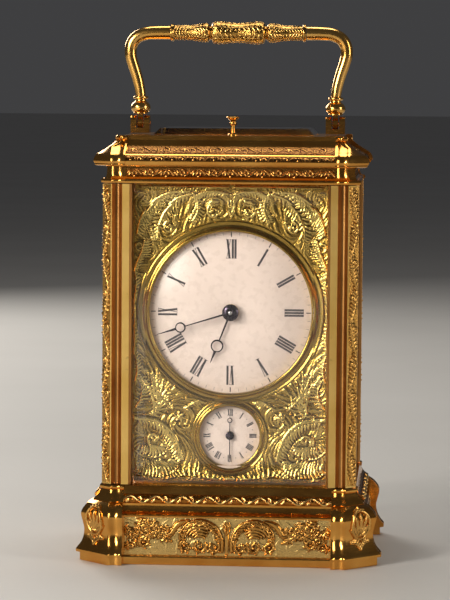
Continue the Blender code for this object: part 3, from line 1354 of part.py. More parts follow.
# ---- the clock ----------------------------------------------------------------------------------------
clear_scene()
PARTS = make_collection("carriage_clock")
CUTTERS = make_collection("cutters")
GILT = make_material("gilt_brass", (0.83, 0.52, 0.16), 0.22, 1.0)
BRASS = make_material("brass", (0.80, 0.60, 0.28), 0.35, 1.0)
STEEL = make_material("steel", (0.55, 0.55, 0.56), 0.3, 1.0)
BLUED = make_material("blued_steel", (0.09, 0.08, 0.12), 0.35, 1.0)
ENAMEL = make_material("enamel", (0.90, 0.86, 0.80), 0.25, 0.0)
GLASS = make_material("glass", (0.85, 0.92, 0.90), 0.03, 0.0)

build_base()
build_pillars()
build_top()
build_side_glasses()
build_door()
build_handle()
build_repeat()
build_dials()
build_hands()
build_plates()
build_going_train()
build_motion_work()
build_platform()
build_striking()
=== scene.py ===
"""Carriage clock: the looks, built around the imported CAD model."""

import json
import math
from math import cos, pi, radians, sin, sqrt

import bmesh
import bpy
import numpy as np
from mathutils import Matrix, Vector


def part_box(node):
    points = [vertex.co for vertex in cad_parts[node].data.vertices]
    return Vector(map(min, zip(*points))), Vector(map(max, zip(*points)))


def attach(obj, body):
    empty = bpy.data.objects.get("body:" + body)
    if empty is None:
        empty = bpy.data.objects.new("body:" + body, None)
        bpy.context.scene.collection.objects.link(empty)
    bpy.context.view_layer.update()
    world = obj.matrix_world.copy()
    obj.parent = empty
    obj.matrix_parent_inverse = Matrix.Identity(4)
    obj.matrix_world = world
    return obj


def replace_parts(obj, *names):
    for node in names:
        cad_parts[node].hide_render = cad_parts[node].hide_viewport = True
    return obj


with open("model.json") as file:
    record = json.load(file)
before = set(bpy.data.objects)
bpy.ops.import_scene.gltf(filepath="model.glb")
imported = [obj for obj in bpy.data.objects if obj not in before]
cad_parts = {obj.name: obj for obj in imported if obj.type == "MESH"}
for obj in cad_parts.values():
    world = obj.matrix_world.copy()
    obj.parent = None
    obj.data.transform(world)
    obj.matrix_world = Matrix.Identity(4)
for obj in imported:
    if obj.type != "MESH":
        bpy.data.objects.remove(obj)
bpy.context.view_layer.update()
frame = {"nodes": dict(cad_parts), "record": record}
NODES = frame["nodes"]
MM = 0.001


def mm_box(node):
    low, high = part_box(node)
    return np.array(low) / MM, np.array(high) / MM


# Sizes read from the frame, in millimetres.
PILLAR_LOW, PILLAR_HIGH = mm_box("pillar_front_right")
HALF_W, HALF_D = PILLAR_HIGH[0], -PILLAR_LOW[1]
PILLAR_SIDE = PILLAR_HIGH[0] - PILLAR_LOW[0]
PILLAR_Z0, PILLAR_Z1 = PILLAR_LOW[2], PILLAR_HIGH[2]
BASE_TOP = mm_box("base_frame")[1][2]
TOP_Z0, TOP_Z1 = mm_box("top_frame")[0][2], mm_box("top_frame")[1][2]
MASK_LOW, MASK_HIGH = mm_box("dial_mask")
DIAL_LOW, DIAL_HIGH = mm_box("main_dial")
ALARM_LOW, ALARM_HIGH = mm_box("alarm_dial")
BEZEL_LOW, BEZEL_HIGH = mm_box("main_bezel")
ALARM_BEZEL_LOW, ALARM_BEZEL_HIGH = mm_box("alarm_bezel")
DIAL_Z = (DIAL_LOW[2] + DIAL_HIGH[2]) / 2
ALARM_Z = (ALARM_LOW[2] + ALARM_HIGH[2]) / 2
DIAL_Y = DIAL_LOW[1]
MASK_Y = MASK_LOW[1]
LUG_LOW, LUG_HIGH = mm_box("handle_lug_right")
GRIP_LOW, GRIP_HIGH = mm_box("handle_grip")
BEZEL_R = (BEZEL_HIGH[0] - BEZEL_LOW[0]) / 2
ALARM_BEZEL_R = (ALARM_BEZEL_HIGH[0] - ALARM_BEZEL_LOW[0]) / 2
HANDLE_X = (LUG_LOW[0] + LUG_HIGH[0]) / 2
GRIP_Z = (GRIP_LOW[2] + GRIP_HIGH[2]) / 2

# Sizes set here, in millimetres.
PIVOT_Z = TOP_Z1 + 3.8  # the handle's pivots
CANT = 3.0  # each leg of a pillar's canted corner
BLOCK = 7.9  # side of a corner block, inwards from the pillar's face
SHORTEST_CANT = 1.0
PANEL_OUT = 3.0  # the base panels' ground, out from the pillars' faces
CLEARANCE = 0.3  # round the glass and the plate
PROUD = 0.02  # a sheet's ground above the metal behind it
SHEET_DEPTH = 0.12  # how far a sheet is sunk in the metal
TOP_RIM, TOP_DECK, GLASS_LEDGE = 7.2, 5.4, 2.4
PILLAR_STRIP, PILLAR_CHAMFER, PILLAR_HOLLOW = 2.4, 0.8, 1.6
SLOT_FROM, SLOT_TO, SLOT_DEPTH = 3.0, 5.0, 2.0
MAIN_SIGHT, ALARM_SIGHT = 27.3, 10.15
MARK_THICK = 0.03
MINUTE_ANGLE, HOUR_ANGLE = radians(-107.2), radians(-158.5)
GRIP_HALF = 23.3  # the engraved part of the grip, each way from its middle

FORWARD, UPWARD = (0, -1, 0), (0, 0, 1)
FACES = ("front", "back", "left", "right")
CORNERS = [
    (f"{end}_{side}", sx, sy)
    for side, sx in (("left", -1), ("right", 1))
    for end, sy in (("front", -1), ("rear", 1))
]
DIAGONAL = sqrt(0.5)

# ---- camera, lights, floor ----------------------------------------------------------------------
CAMERA_AT = (0.0630, -0.937, 0.1595)
CAMERA_YAW, CAMERA_PITCH, CAMERA_ROLL = -0.0714, -0.0781, 0.0073
FOCAL_PER_HEIGHT = 2714 / 600


def make_camera():
    data = bpy.data.cameras.new("camera")
    data.sensor_fit = "VERTICAL"
    data.sensor_height = 36
    data.lens = FOCAL_PER_HEIGHT * 36
    data.clip_end = 50
    camera = bpy.data.objects.new("camera", data)
    bpy.context.scene.collection.objects.link(camera)
    flat = cos(CAMERA_PITCH)
    forward = Vector((sin(CAMERA_YAW) * flat, cos(CAMERA_YAW) * flat, sin(CAMERA_PITCH)))
    level = Vector((cos(CAMERA_YAW), -sin(CAMERA_YAW), 0))
    up = level.cross(forward)
    right = level * cos(CAMERA_ROLL) + up * sin(CAMERA_ROLL)
    up = right.cross(forward)
    turn = Matrix((right, up, -forward)).transposed()
    camera.matrix_world = Matrix.Translation(CAMERA_AT) @ turn.to_4x4()
    bpy.context.scene.camera = camera


def area_light(name, at, target, size, power, colour=(1, 1, 1)):
    data = bpy.data.lights.new(name, "AREA")
    data.shape = "RECTANGLE"
    data.size, data.size_y = size
    data.energy = power
    data.color = colour
    light = bpy.data.objects.new(name, data)
    light.location = at
    light.rotation_euler = (Vector(target) - Vector(at)).to_track_quat("-Z", "Y").to_euler()
    light.visible_camera = False
    bpy.context.scene.collection.objects.link(light)


def make_stage():
    scene = bpy.context.scene
    scene.view_settings.view_transform = "Standard"
    world = bpy.data.worlds.new("studio")
    scene.world = world
    world.use_nodes = True
    background = world.node_tree.nodes["Background"]
    background.inputs["Color"].default_value = (0.50, 0.50, 0.52, 1)
    background.inputs["Strength"].default_value = 0.10
    area_light("left_softbox", (-0.74, -0.78, 0.50), (0, 0, 0.08), (0.20, 0.40), 7.5, (1.0, 0.93, 0.84))
    area_light("right_softbox", (0.95, -0.45, 0.36), (0, 0, 0.08), (0.20, 0.6), 3.2, (1.0, 0.94, 0.86))
    area_light("front_panel", (-0.68, -1.12, 0.36), (0, 0, 0.08), (0.4, 0.36), 4.6, (1.0, 0.95, 0.88))
    area_light("top_softbox", (0.0, 0.25, 0.9), (0, 0, 0.1), (0.5, 0.3), 2.5, (1.0, 0.96, 0.9))
    area_light("back_softbox", (-0.5, 0.9, 0.45), (0, 0, 0.1), (0.4, 0.4), 4.5, (1.0, 0.95, 0.88))
    bm = bmesh.new()
    bmesh.ops.create_grid(bm, x_segments=2, y_segments=2, size=15)
    floor = bpy.data.objects.new("floor", mesh_from(bm, "floor"))
    scene.collection.objects.link(floor)
    floor.location.z = -0.0001
    floor.data.materials.append(floor_material())


# ---- materials ----------------------------------------------------------------------------------
class Nodes:
    """A material's node tree, with short names for the nodes used here."""

    def __init__(self, name):
        self.material = bpy.data.materials.new(name)
        self.material.use_nodes = True
        self.tree = self.material.node_tree
        self.shader = self.tree.nodes["Principled BSDF"]
        self.where = self.tree.nodes.new("ShaderNodeTexCoord").outputs["Object"]

    def add(self, kind, **values):
        node = self.tree.nodes.new(kind)
        for key, value in values.items():
            setattr(node, key, value)
        return node

    def link(self, a, b):
        self.tree.links.new(a, b)

    def noise(self, size_mm, detail=3, stretch=(1, 1, 1)):
        """Noise whose features are about size_mm across."""
        place = self.add("ShaderNodeMapping")
        place.inputs["Scale"].default_value = stretch
        self.link(self.where, place.inputs["Vector"])
        node = self.add("ShaderNodeTexNoise")
        node.inputs["Scale"].default_value = 1000 / size_mm
        node.inputs["Detail"].default_value = detail
        self.link(place.outputs["Vector"], node.inputs["Vector"])
        return node.outputs["Fac"]

    def cells(self, size_mm):
        node = self.add("ShaderNodeTexVoronoi")
        node.inputs["Scale"].default_value = 1000 / size_mm
        self.link(self.where, node.inputs["Vector"])
        return node.outputs["Distance"]

    def attribute(self, name):
        return self.add("ShaderNodeAttribute", attribute_name=name).outputs["Fac"]

    def ramp(self, factor, stops):
        """Colours at positions along factor."""
        node = self.add("ShaderNodeValToRGB")
        elements = node.color_ramp.elements
        while len(elements) < len(stops):
            elements.new(0.5)
        for element, (position, colour) in zip(elements, stops):
            element.position = position
            element.color = (*colour, 1)
        self.link(factor, node.inputs["Fac"])
        return node.outputs["Color"]

    def between(self, factor, low, high):
        """factor 0..1 mapped to low..high."""
        node = self.add("ShaderNodeMapRange")
        node.inputs["To Min"].default_value = low
        node.inputs["To Max"].default_value = high
        self.link(factor, node.inputs["Value"])
        return node.outputs["Result"]

    def mix(self, factor, a, b):
        node = self.add("ShaderNodeMix", data_type="RGBA")
        self.link(factor, node.inputs["Factor"])
        for socket, value in ((node.inputs["A"], a), (node.inputs["B"], b)):
            if isinstance(value, tuple):
                socket.default_value = (*value, 1)
            else:
                self.link(value, socket)
        return node.outputs["Result"]

    def maths(self, operation, a, b):
        node = self.add("ShaderNodeMath", operation=operation)
        for socket, value in zip(node.inputs, (a, b)):
            if isinstance(value, (int, float)):
                socket.default_value = value
            else:
                self.link(value, socket)
        return node.outputs["Value"]

    def bump(self, height, distance_mm, strength=1.0):
        node = self.add("ShaderNodeBump")
        node.inputs["Strength"].default_value = strength
        node.inputs["Distance"].default_value = distance_mm * MM
        self.link(height, node.inputs["Height"])
        self.link(node.outputs["Normal"], self.shader.inputs["Normal"])

    def set(self, **values):
        for key, value in values.items():
            socket = self.shader.inputs[key.replace("_", " ")]
            if isinstance(value, tuple):
                socket.default_value = (*value, 1)
            elif isinstance(value, (int, float)):
                socket.default_value = value
            else:
                self.link(value, socket)
        return self


TARNISH = (0.30, 0.12, 0.03)
STIPPLE_MM = 0.33


def gilt_material(name, light, dark, rough=(0.10, 0.24)):
    """Polished fire-gilt brass: warm tone drifting between light and dark, faint smears and wiping marks."""
    m = Nodes(name)
    tone = m.noise(14, 3)
    colour = m.ramp(tone, [(0.35, dark), (0.65, light)])
    spots = m.ramp(m.noise(2.2, 5), [(0.66, (0, 0, 0)), (0.80, (1, 1, 1))])
    colour = m.mix(m.maths("MULTIPLY", spots, 0.35), colour, TARNISH)
    wipe = m.noise(3.0, 4, stretch=(1, 1, 6))
    m.set(Base_Color=colour, Metallic=1.0, Roughness=m.between(wipe, *rough))
    m.bump(m.noise(0.35, 2), 0.006, 0.5)
    return m.material


def relief_material(name, crest_shading, ground, recess_shade_and_mottle, rough=(0.16, 0.42)):
    """Engraved gilding from the piece's attributes: crests coloured by height, as painted highlight where
    lighter and painted shade where darker than the ground; a stippled ground; painted shade in the recesses.
    """
    m = Nodes(name)
    height = m.attribute("relief")
    cavity_shade = m.attribute("cavity_shade")
    # Painted light: the crests are coloured by height, lighter than the ground as a painted highlight, darker
    # on the base panels as painted shade.
    colour = m.ramp(height, [(0.0, ground), (0.10, ground), (0.50, crest_shading)])
    # Random mottle towards the dark recess colour.
    colour = m.mix(m.between(m.noise(9, 3), 0.0, 0.25), colour, recess_shade_and_mottle)
    # Painted shade: the recesses are darkened by the cavity mask.
    colour = m.mix(cavity_shade, colour, recess_shade_and_mottle)
    dots = m.cells(STIPPLE_MM)
    ground_share = m.maths("SUBTRACT", 1.0, m.maths("MINIMUM", m.maths("MULTIPLY", height, 6.0), 1.0))
    m.set(Base_Color=colour, Metallic=1.0, Roughness=m.between(m.noise(1.2, 4), *rough))
    m.bump(m.maths("MULTIPLY", dots, ground_share), 0.10, 0.6)
    return m.material


def brushed_material(name, colour, dark, rough=(0.28, 0.45)):
    """Fine-grained movement brass or steel, with straight graining and a little dulling."""
    m = Nodes(name)
    tone = m.noise(8, 4)
    grain = m.noise(0.8, 3, stretch=(1, 1, 14))
    m.set(
        Base_Color=m.mix(grain, m.ramp(tone, [(0.3, dark), (0.7, colour)]), colour),
        Metallic=1.0,
        Roughness=m.between(grain, *rough),
    )
    m.bump(grain, 0.01, 0.4)
    return m.material


def blued_material():
    m = Nodes("blued_steel_fine")
    tone = m.noise(3, 3)
    colour = m.ramp(tone, [(0.3, (0.035, 0.028, 0.040)), (0.7, (0.075, 0.060, 0.085))])
    m.set(Base_Color=colour, Metallic=1.0, Roughness=m.between(m.noise(0.6, 3), 0.18, 0.34))
    m.bump(m.noise(0.3, 2), 0.003, 0.4)
    return m.material


def enamel_material():
    """Fired enamel: a warm white, very slightly uneven, under a clear glaze."""
    m = Nodes("enamel_fine")
    tone = m.noise(12, 3)
    colour = m.ramp(tone, [(0.3, (0.617, 0.507, 0.467)), (0.7, (0.630, 0.520, 0.480))])
    specks = m.ramp(m.noise(0.5, 4), [(0.74, (0, 0, 0)), (0.80, (1, 1, 1))])
    colour = m.mix(m.maths("MULTIPLY", specks, 0.08), colour, (0.5, 0.42, 0.36))
    m.set(Base_Color=colour, Roughness=m.between(m.noise(2.5, 3), 0.22, 0.34))
    m.set(Coat_Weight=0.15, Coat_Roughness=0.12)
    m.bump(m.noise(5, 2), 0.004, 0.2)
    return m.material


def ink_material(name, colour):
    m = Nodes(name)
    worn = tuple(min(1, c * 2.2 + 0.02) for c in colour)
    tone = m.ramp(m.noise(1.5, 3), [(0.3, colour), (0.8, worn)])
    m.set(Base_Color=tone, Roughness=m.between(m.noise(0.6, 3), 0.25, 0.45))
    return m.material


def glass_material(name, tint):
    """Clear glass that lets the lamps through."""
    m = Nodes(name)
    smears = m.noise(7, 4, stretch=(1, 1, 2))
    m.set(Base_Color=tint, Roughness=m.between(smears, 0.0, 0.014), IOR=1.5, Transmission_Weight=1.0)
    clear = m.add("ShaderNodeBsdfTransparent")
    clear.inputs["Color"].default_value = (0.93, 0.95, 0.93, 1)
    path = m.add("ShaderNodeLightPath")
    blend = m.add("ShaderNodeMixShader")
    output = m.tree.nodes["Material Output"]
    m.link(path.outputs["Is Shadow Ray"], blend.inputs["Fac"])
    m.link(m.shader.outputs["BSDF"], blend.inputs[1])
    m.link(clear.outputs["BSDF"], blend.inputs[2])
    m.link(blend.outputs["Shader"], output.inputs["Surface"])
    return m.material


def floor_material():
    m = Nodes("floor_paper")
    tone = m.noise(160, 3)
    m.set(
        Base_Color=m.ramp(tone, [(0.3, (0.60, 0.59, 0.57)), (0.7, (0.64, 0.63, 0.61))]),
        Roughness=m.between(m.noise(3, 3), 0.55, 0.7),
    )
    m.bump(m.noise(0.8, 3), 0.05, 0.2)
    return m.material


GILT = gilt_material("gilt_polished", (0.86, 0.44, 0.10), (0.72, 0.31, 0.055))
GILT_LIGHT = gilt_material("gilt_bright", (0.90, 0.54, 0.16), (0.80, 0.42, 0.09), rough=(0.15, 0.25))
# The bezel gilt is a darker copy of the polished gilt: painted shade standing for the dark reflection in its
# cove.
BEZEL_SHADED_GOLD = gilt_material("gilt_bezel_shaded", (0.52, 0.34, 0.08), (0.40, 0.25, 0.05), rough=(0.12, 0.24))
# Painted light in the engraved finishes: each crest colour is a painted highlight, lighter than its ground,
# on all but the base panels, and each recess colour is painted shade.
ENGRAVED = relief_material("gilt_engraved", (0.90, 0.50, 0.13), (0.84, 0.46, 0.11), (0.10, 0.030, 0.006))
MASK_GOLD = relief_material(
    "gilt_mask", (0.95, 0.70, 0.22), (0.56, 0.35, 0.07), (0.08, 0.038, 0.006), rough=(0.14, 0.32)
)
# The base panels' ornament is painted darker than its ground as painted shade, and the ground is painted
# bright as a painted reflection.
PANEL_GOLD = relief_material(
    "gilt_panel", (0.76, 0.41, 0.10), (0.98, 0.68, 0.24), (0.10, 0.030, 0.006), rough=(0.16, 0.32)
)
# Lit and shaded copies of the gilt for the pillars: the lighter one is painted light on the strip and flat
# faces, the darker one painted shade in the hollow.
PILLAR_LIT_GOLD = gilt_material("gilt_pillar_lit", (0.96, 0.64, 0.20), (0.84, 0.52, 0.13), rough=(0.30, 0.40))
GORGE_SHADED_GOLD = gilt_material("gilt_gorge_shaded", (0.54, 0.27, 0.08), (0.42, 0.19, 0.055), rough=(0.26, 0.36))
# The cornice bands' ground is painted dark as painted shade in the coves and friezes; the lighter crests are
# a painted highlight.
CORNICE_SHADED_GOLD = relief_material(
    "gilt_cornice_shaded", (0.66, 0.33, 0.08), (0.27, 0.12, 0.027), (0.16, 0.055, 0.012), rough=(0.16, 0.32)
)
ROPE_GOLD = relief_material(
    "gilt_rope", (0.95, 0.60, 0.20), (0.50, 0.20, 0.035), (0.14, 0.04, 0.008), rough=(0.10, 0.26)
)
# The grip's slightly lighter crests are a painted highlight.
GRIP_GOLD = relief_material(
    "gilt_grip", (0.90, 0.54, 0.15), (0.80, 0.44, 0.10), (0.14, 0.05, 0.01), rough=(0.10, 0.22)
)
BRASS = brushed_material("brass_grained", (0.86, 0.66, 0.32), (0.72, 0.50, 0.20))
STEEL = brushed_material("steel_polished", (0.62, 0.62, 0.62), (0.45, 0.45, 0.46), rough=(0.18, 0.34))
BLUED = blued_material()
ENAMEL = enamel_material()
INK = ink_material("enamel_black", (0.022, 0.018, 0.022))
INK_GREY = ink_material("enamel_grey", (0.16, 0.14, 0.14))
GLASS = glass_material("glass_clear", (0.985, 0.985, 0.98))


# ---- mesh helpers -------------------------------------------------------------------------------
def add_piece(name, mesh, finish, body, smooth=35):
    if smooth:
        mesh.shade_smooth()
        mesh.set_sharp_from_angle(angle=radians(smooth))
    obj = bpy.data.objects.new(name, mesh)
    obj.data.materials.append(finish)
    bpy.context.scene.collection.objects.link(obj)
    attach(obj, body)
    return obj


def mesh_from(bm, name):
    """The mesh in bm, which is freed."""
    mesh = bpy.data.meshes.new(name)
    bm.to_mesh(mesh)
    bm.free()
    return mesh


def mesh_of(name, points, faces):
    """A mesh from arrays: points in millimetres, and quads or triangles."""
    mesh = bpy.data.meshes.new(name)
    points = np.asarray(points, float) * MM
    faces = np.asarray(faces, np.int32)
    mesh.vertices.add(len(points))
    mesh.vertices.foreach_set("co", points.ravel())
    size = faces.shape[1]
    mesh.loops.add(faces.size)
    mesh.loops.foreach_set("vertex_index", faces.ravel())
    mesh.polygons.add(len(faces))
    mesh.polygons.foreach_set("loop_start", np.arange(0, faces.size, size, dtype=np.int32))
    mesh.update(calc_edges=True)
    return mesh


def set_attribute(mesh, name, values):
    mesh.attributes.new(name, "FLOAT", "POINT").data.foreach_set(
        "value", np.asarray(values, np.float32).ravel()
    )


def smooth_line(points, per_span):
    """A Catmull-Rom curve through points."""
    points = np.asarray(points, float)
    padded = np.vstack([2 * points[0] - points[1], points, 2 * points[-1] - points[-2]])
    out = []
    for p0, p1, p2, p3 in zip(padded, padded[1:], padded[2:], padded[3:]):
        for k in range(per_span):
            t = k / per_span
            square, cube = 2 * p0 - 5 * p1 + 4 * p2 - p3, 3 * p1 - p0 - 3 * p2 + p3
            out.append(0.5 * (2 * p1 + (p2 - p0) * t + square * t**2 + cube * t**3))
    return np.array([*out, points[-1]])


def frame_along(direction):
    direction = Vector(direction).normalized()
    side = Vector((0, 0, 1)).cross(direction)
    if side.length < 1e-6:
        side = Vector((1, 0, 0))
    side.normalize()
    return np.array(side), np.array(direction.cross(side)), np.array(direction)


def ring_faces(rows, columns, closed=False):
    """Quads between neighbouring rings of points. closed joins the last ring to the first."""
    ring = np.arange(columns)
    after = (ring + 1) % columns
    faces = []
    for i in range(rows if closed else rows - 1):
        here, there = i * columns, (i + 1) % rows * columns
        faces.append(np.stack([here + ring, here + after, there + after, there + ring], 1))
    return np.concatenate(faces)


def lathe(profile, segments, origin, direction, closed=False):
    """Points and faces of a turned shape. profile is (radius, distance along direction)."""
    side, up, along = frame_along(direction)
    profile = np.asarray(profile, float)
    angle = np.linspace(0, 2 * pi, segments, endpoint=False)
    ring = np.cos(angle)[:, None] * side + np.sin(angle)[:, None] * up
    points = (
        np.asarray(origin, float)
        + profile[:, 0, None, None] * ring[None]
        + profile[:, 1, None, None] * along[None, None]
    )
    return points.reshape(-1, 3), ring_faces(len(profile), segments, closed)


def lathe_piece(name, profile, segments, origin, direction, finish, body, closed=False, smooth=35):
    mesh = mesh_of(name, *lathe(profile, segments, origin, direction, closed))
    tidy(mesh, caps=not closed)
    return add_piece(name, mesh, finish, body, smooth)


def tidy(mesh, caps=False):
    """Joins points that coincide, fills the open ends if asked, and turns the faces outwards."""
    bm = bmesh.new()
    bm.from_mesh(mesh)
    bmesh.ops.remove_doubles(bm, verts=bm.verts, dist=1e-7)
    if caps:
        edges = [e for e in bm.edges if e.is_boundary]
        if edges:
            bmesh.ops.holes_fill(bm, edges=edges, sides=0)
    bmesh.ops.recalc_face_normals(bm, faces=bm.faces)
    bm.to_mesh(mesh)
    bm.free()


def prism(bm, low, high):
    """Adds a closed prism between two rings of points, in millimetres, and returns its walls."""
    low, high = ([bm.verts.new([c * MM for c in point]) for point in ring] for ring in (low, high))
    count = len(low)
    walls = [
        bm.faces.new((low[i], low[(i + 1) % count], high[(i + 1) % count], high[i])) for i in range(count)
    ]
    bm.faces.new(low)
    bm.faces.new(high)
    bmesh.ops.recalc_face_normals(bm, faces=bm.faces)
    return walls


def circle(radius, x, y, count):
    return [
        (x + radius * cos(2 * pi * i / count), y + radius * sin(2 * pi * i / count)) for i in range(count)
    ]


def sweep(line, radii, segments):
    """Points and faces of a tube along line, in millimetres, with flat ends."""
    line = np.asarray(line, float)
    tangent = np.gradient(line, axis=0)
    tangent /= np.linalg.norm(tangent, axis=1)[:, None]
    normal = np.array([0.0, 1.0, 0.0])
    angle = np.linspace(0, 2 * pi, segments, endpoint=False)
    rows = []
    for point, along, radius in zip(line, tangent, radii):
        side = np.cross(normal, along)
        side /= np.linalg.norm(side)
        up = np.cross(along, side)
        rows.append(point + radius * (np.cos(angle)[:, None] * side + np.sin(angle)[:, None] * up))
    return np.concatenate(rows), ring_faces(len(line), segments)


def merged(name, parts):
    """One mesh out of several (points, faces) with quads."""
    points, faces, start = [], [], 0
    for p, f in parts:
        points.append(p)
        faces.append(f + start)
        start += len(p)
    mesh = mesh_of(name, np.concatenate(points), np.concatenate(faces))
    tidy(mesh, caps=True)
    return mesh


# ---- relief: ornament drawn as strokes on a grid of heights ----------------------------------------
class Relief:
    """Heights in millimetres over a rectangle, built up stroke by stroke."""

    def __init__(self, width, height, step=0.25):
        self.width, self.height = width, height
        self.nx, self.ny = int(round(width / step)) + 1, int(round(height / step)) + 1
        self.x, self.y = np.linspace(0, width, self.nx), np.linspace(0, height, self.ny)
        self.h = np.zeros((self.ny, self.nx))

    def stroke(self, line, widths, rise, vein=0.0, keep=0.3, groove=0.0):
        """Lays a rounded, tapering ridge along line over what is there. widths are half widths."""
        line = np.asarray(line, float)
        widths = np.broadcast_to(np.asarray(widths, float), len(line))
        reach = widths.max() * 1.4
        x0, x1 = np.searchsorted(self.x, [line[:, 0].min() - reach, line[:, 0].max() + reach])
        y0, y1 = np.searchsorted(self.y, [line[:, 1].min() - reach, line[:, 1].max() + reach])
        if x1 <= x0 or y1 <= y0:
            return
        gx, gy = np.meshgrid(self.x[x0:x1], self.y[y0:y1])
        best = np.full(gx.shape, 9.0)
        for (ax, ay), (bx, by), wa, wb in zip(line, line[1:], widths, widths[1:]):
            dx, dy = bx - ax, by - ay
            length = dx * dx + dy * dy
            if length == 0:
                continue
            t = np.clip(((gx - ax) * dx + (gy - ay) * dy) / length, 0, 1)
            distance = np.hypot(gx - ax - t * dx, gy - ay - t * dy)
            best = np.minimum(best, distance / np.maximum(wa + (wb - wa) * t, 1e-3))
        inside = best < 1
        ridge = rise * np.sqrt(np.clip(1 - best**2, 0, 1)) - vein * rise * np.exp(-((best / 0.28) ** 2))
        patch = self.h[y0:y1, x0:x1]
        patch[inside] = keep * patch[inside] + ridge[inside]
        if groove:
            near = (best >= 1) & (best < 1.35)
            patch[near] -= groove * (1 - (best[near] - 1) / 0.35)

    def bud(self, x, y, radius, rise):
        self.stroke([(x - 0.01, y), (x + 0.01, y)], radius, rise, keep=0.2)

    def strands(self, heading, count, length, wide, rise, seed):
        """Fills the ground with short leaves that lie along heading(x, y), an angle."""
        rng = np.random.default_rng(seed)
        starts = rng.uniform((0, 0), (self.width, self.height), (count, 2))
        for x, y in starts:
            line = [(x, y)]
            flip = pi if rng.random() < 0.5 else 0
            for _ in range(8):
                angle = heading(x, y) + flip
                x, y = x + cos(angle) * length / 8, y + sin(angle) * length / 8
                line.append((x, y))
            self.stroke(line, taper(9, wide), rise, vein=0.2, keep=0.35, groove=0.04)

    def mirrored(self):
        """This relief and its mirror image in x = 0, side by side."""
        whole = Relief.__new__(Relief)
        whole.width, whole.height = 2 * self.width, self.height
        whole.nx, whole.ny = 2 * self.nx - 1, self.ny
        whole.x, whole.y = np.linspace(0, whole.width, whole.nx), self.y
        whole.h = np.hstack([self.h[:, :0:-1], self.h])
        return whole

    def finished(self, seed, margin, roughness=0.06):
        """Roughens the ground and brings the edges down to it."""
        ground = np.clip(1 - self.h / 0.08, 0, 1)
        self.h = self.h + ground * np.random.default_rng(seed).uniform(0, roughness, self.h.shape)
        edge_x = np.minimum(self.x, self.width - self.x)[None, :]
        edge_y = np.minimum(self.y, self.height - self.y)[:, None]
        self.h *= np.clip((np.minimum(edge_x, edge_y) - margin) / 0.3, 0, 1)
        return self

    def cavity_shade(self):
        """Painted shade mask: 0 to 1 where the surface lies below its surroundings, near and further off, for
        darkening the recesses.
        """
        def softened(h, rounds):
            for _ in range(rounds):
                p = np.pad(h, 1, mode="edge")
                h = (p[:-2, 1:-1] + p[2:, 1:-1] + p[1:-1, :-2] + p[1:-1, 2:] + 2 * p[1:-1, 1:-1]) / 6
            return h

        top = max(self.h.max(), 1e-6)
        near = np.clip((softened(self.h, 2) - self.h) / top * 5, 0, 1)
        far = np.clip((softened(self.h, 14) - self.h) / top * 3.2, 0, 1)
        return np.clip(near * 0.7 + far * 0.75, 0, 0.95)


def drift(start, heading, length, bend, count=12):
    """A line from start that turns by bend over its length. Degrees."""
    x, y = start
    points = [(x, y)]
    for i in range(count):
        t = (i + 0.5) / count
        angle = radians(heading + bend * t)
        x += cos(angle) * length / count
        y += sin(angle) * length / count
        points.append((x, y))
    return points


def spiral(centre, r0, r1, start, turn, count=36):
    """A line round centre from radius r0 to r1, from angle start through turn. Degrees."""
    out = []
    for i in range(count + 1):
        t = i / count
        angle = radians(start + turn * t)
        radius = r0 + (r1 - r0) * t**0.85
        out.append((centre[0] + radius * cos(angle), centre[1] + radius * sin(angle)))
    return out


def taper(count, wide, tip=0.15, root=0.35):
    """Half widths that swell from the root and narrow to a tip."""
    t = np.linspace(0, 1, count)
    swell = root + (1 - root) * np.sin(t / 0.4 * pi / 2)
    narrow = tip + (1 - tip) * np.cos((t - 0.4) / 0.6 * pi / 2)
    return wide * np.where(t < 0.4, swell, narrow)


def plume(relief, stem, side, count, length, spread, bend, wide, rise, start=0.05, end=0.95, stem_wide=None):
    """A leaf of curling fingers along one side of a stem: side is +1 for its left and -1 for its right."""
    stem = np.asarray(stem, float)
    for i in range(count):
        t = end - (end - start) * i / max(1, count - 1)
        k = min(int(t * (len(stem) - 1)), len(stem) - 2)
        point = stem[k] + (stem[k + 1] - stem[k]) * (t * (len(stem) - 1) - k)
        tangent = math.degrees(math.atan2(*(stem[k + 1] - stem[k])[::-1]))
        size = length * (0.55 + 0.45 * sin(pi * min(1, max(0, (t - start) / (end - start)))))
        line = drift(point, tangent + side * spread, size, side * bend, 10)
        relief.stroke(line, taper(len(line), wide), rise, vein=0.25, keep=0.25, groove=0.05)
    if stem_wide:
        relief.stroke(
            stem, np.linspace(stem_wide, stem_wide * 0.45, len(stem)), rise * 1.15, vein=0.2, keep=0.2,
            groove=0.06,
        )


def volute(relief, centre, radius, start, turn, wide, rise, fingers=9, finger=2.4, side=1):
    """A C-scroll that winds in to a bud, with a leaf of fingers on its outer side."""
    line = spiral(centre, radius, radius * 0.22, start, turn)
    plume(relief, line, side, fingers, finger, 18, 95, wide * 1.05, rise * 0.9, 0.02, 0.62)
    relief.stroke(
        line, np.linspace(wide * 1.2, wide * 0.6, len(line)), rise, vein=0.3, keep=0.15, groove=0.08
    )
    relief.bud(*line[-1], wide * 1.3, rise * 1.2)


def arcs(relief, centre, radii, start, turn, wide, rise, shift=0.0):
    """Nested curved leaves round centre, each a little further round than the last."""
    for k, radius in enumerate(radii):
        angles = [radians(start + shift * k + turn * t) for t in np.linspace(0, 1, 15)]
        line = [(centre[0] + radius * cos(a), centre[1] + radius * sin(a)) for a in angles]
        relief.stroke(line, taper(15, wide, tip=0.1, root=0.2), rise, vein=0.12, keep=0.3, groove=0.05)


def rays(relief, at, angles, length, bend, lean, steps, wide, rise, vein, groove=0.05):
    """Leaves that spring from one point. Each turns by bend, and by lean for each degree off upright."""
    for angle in angles:
        line = drift(at, angle, length, bend + (90 - angle) * lean, steps)
        relief.stroke(line, taper(steps + 1, wide), rise, vein=vein, groove=groove)


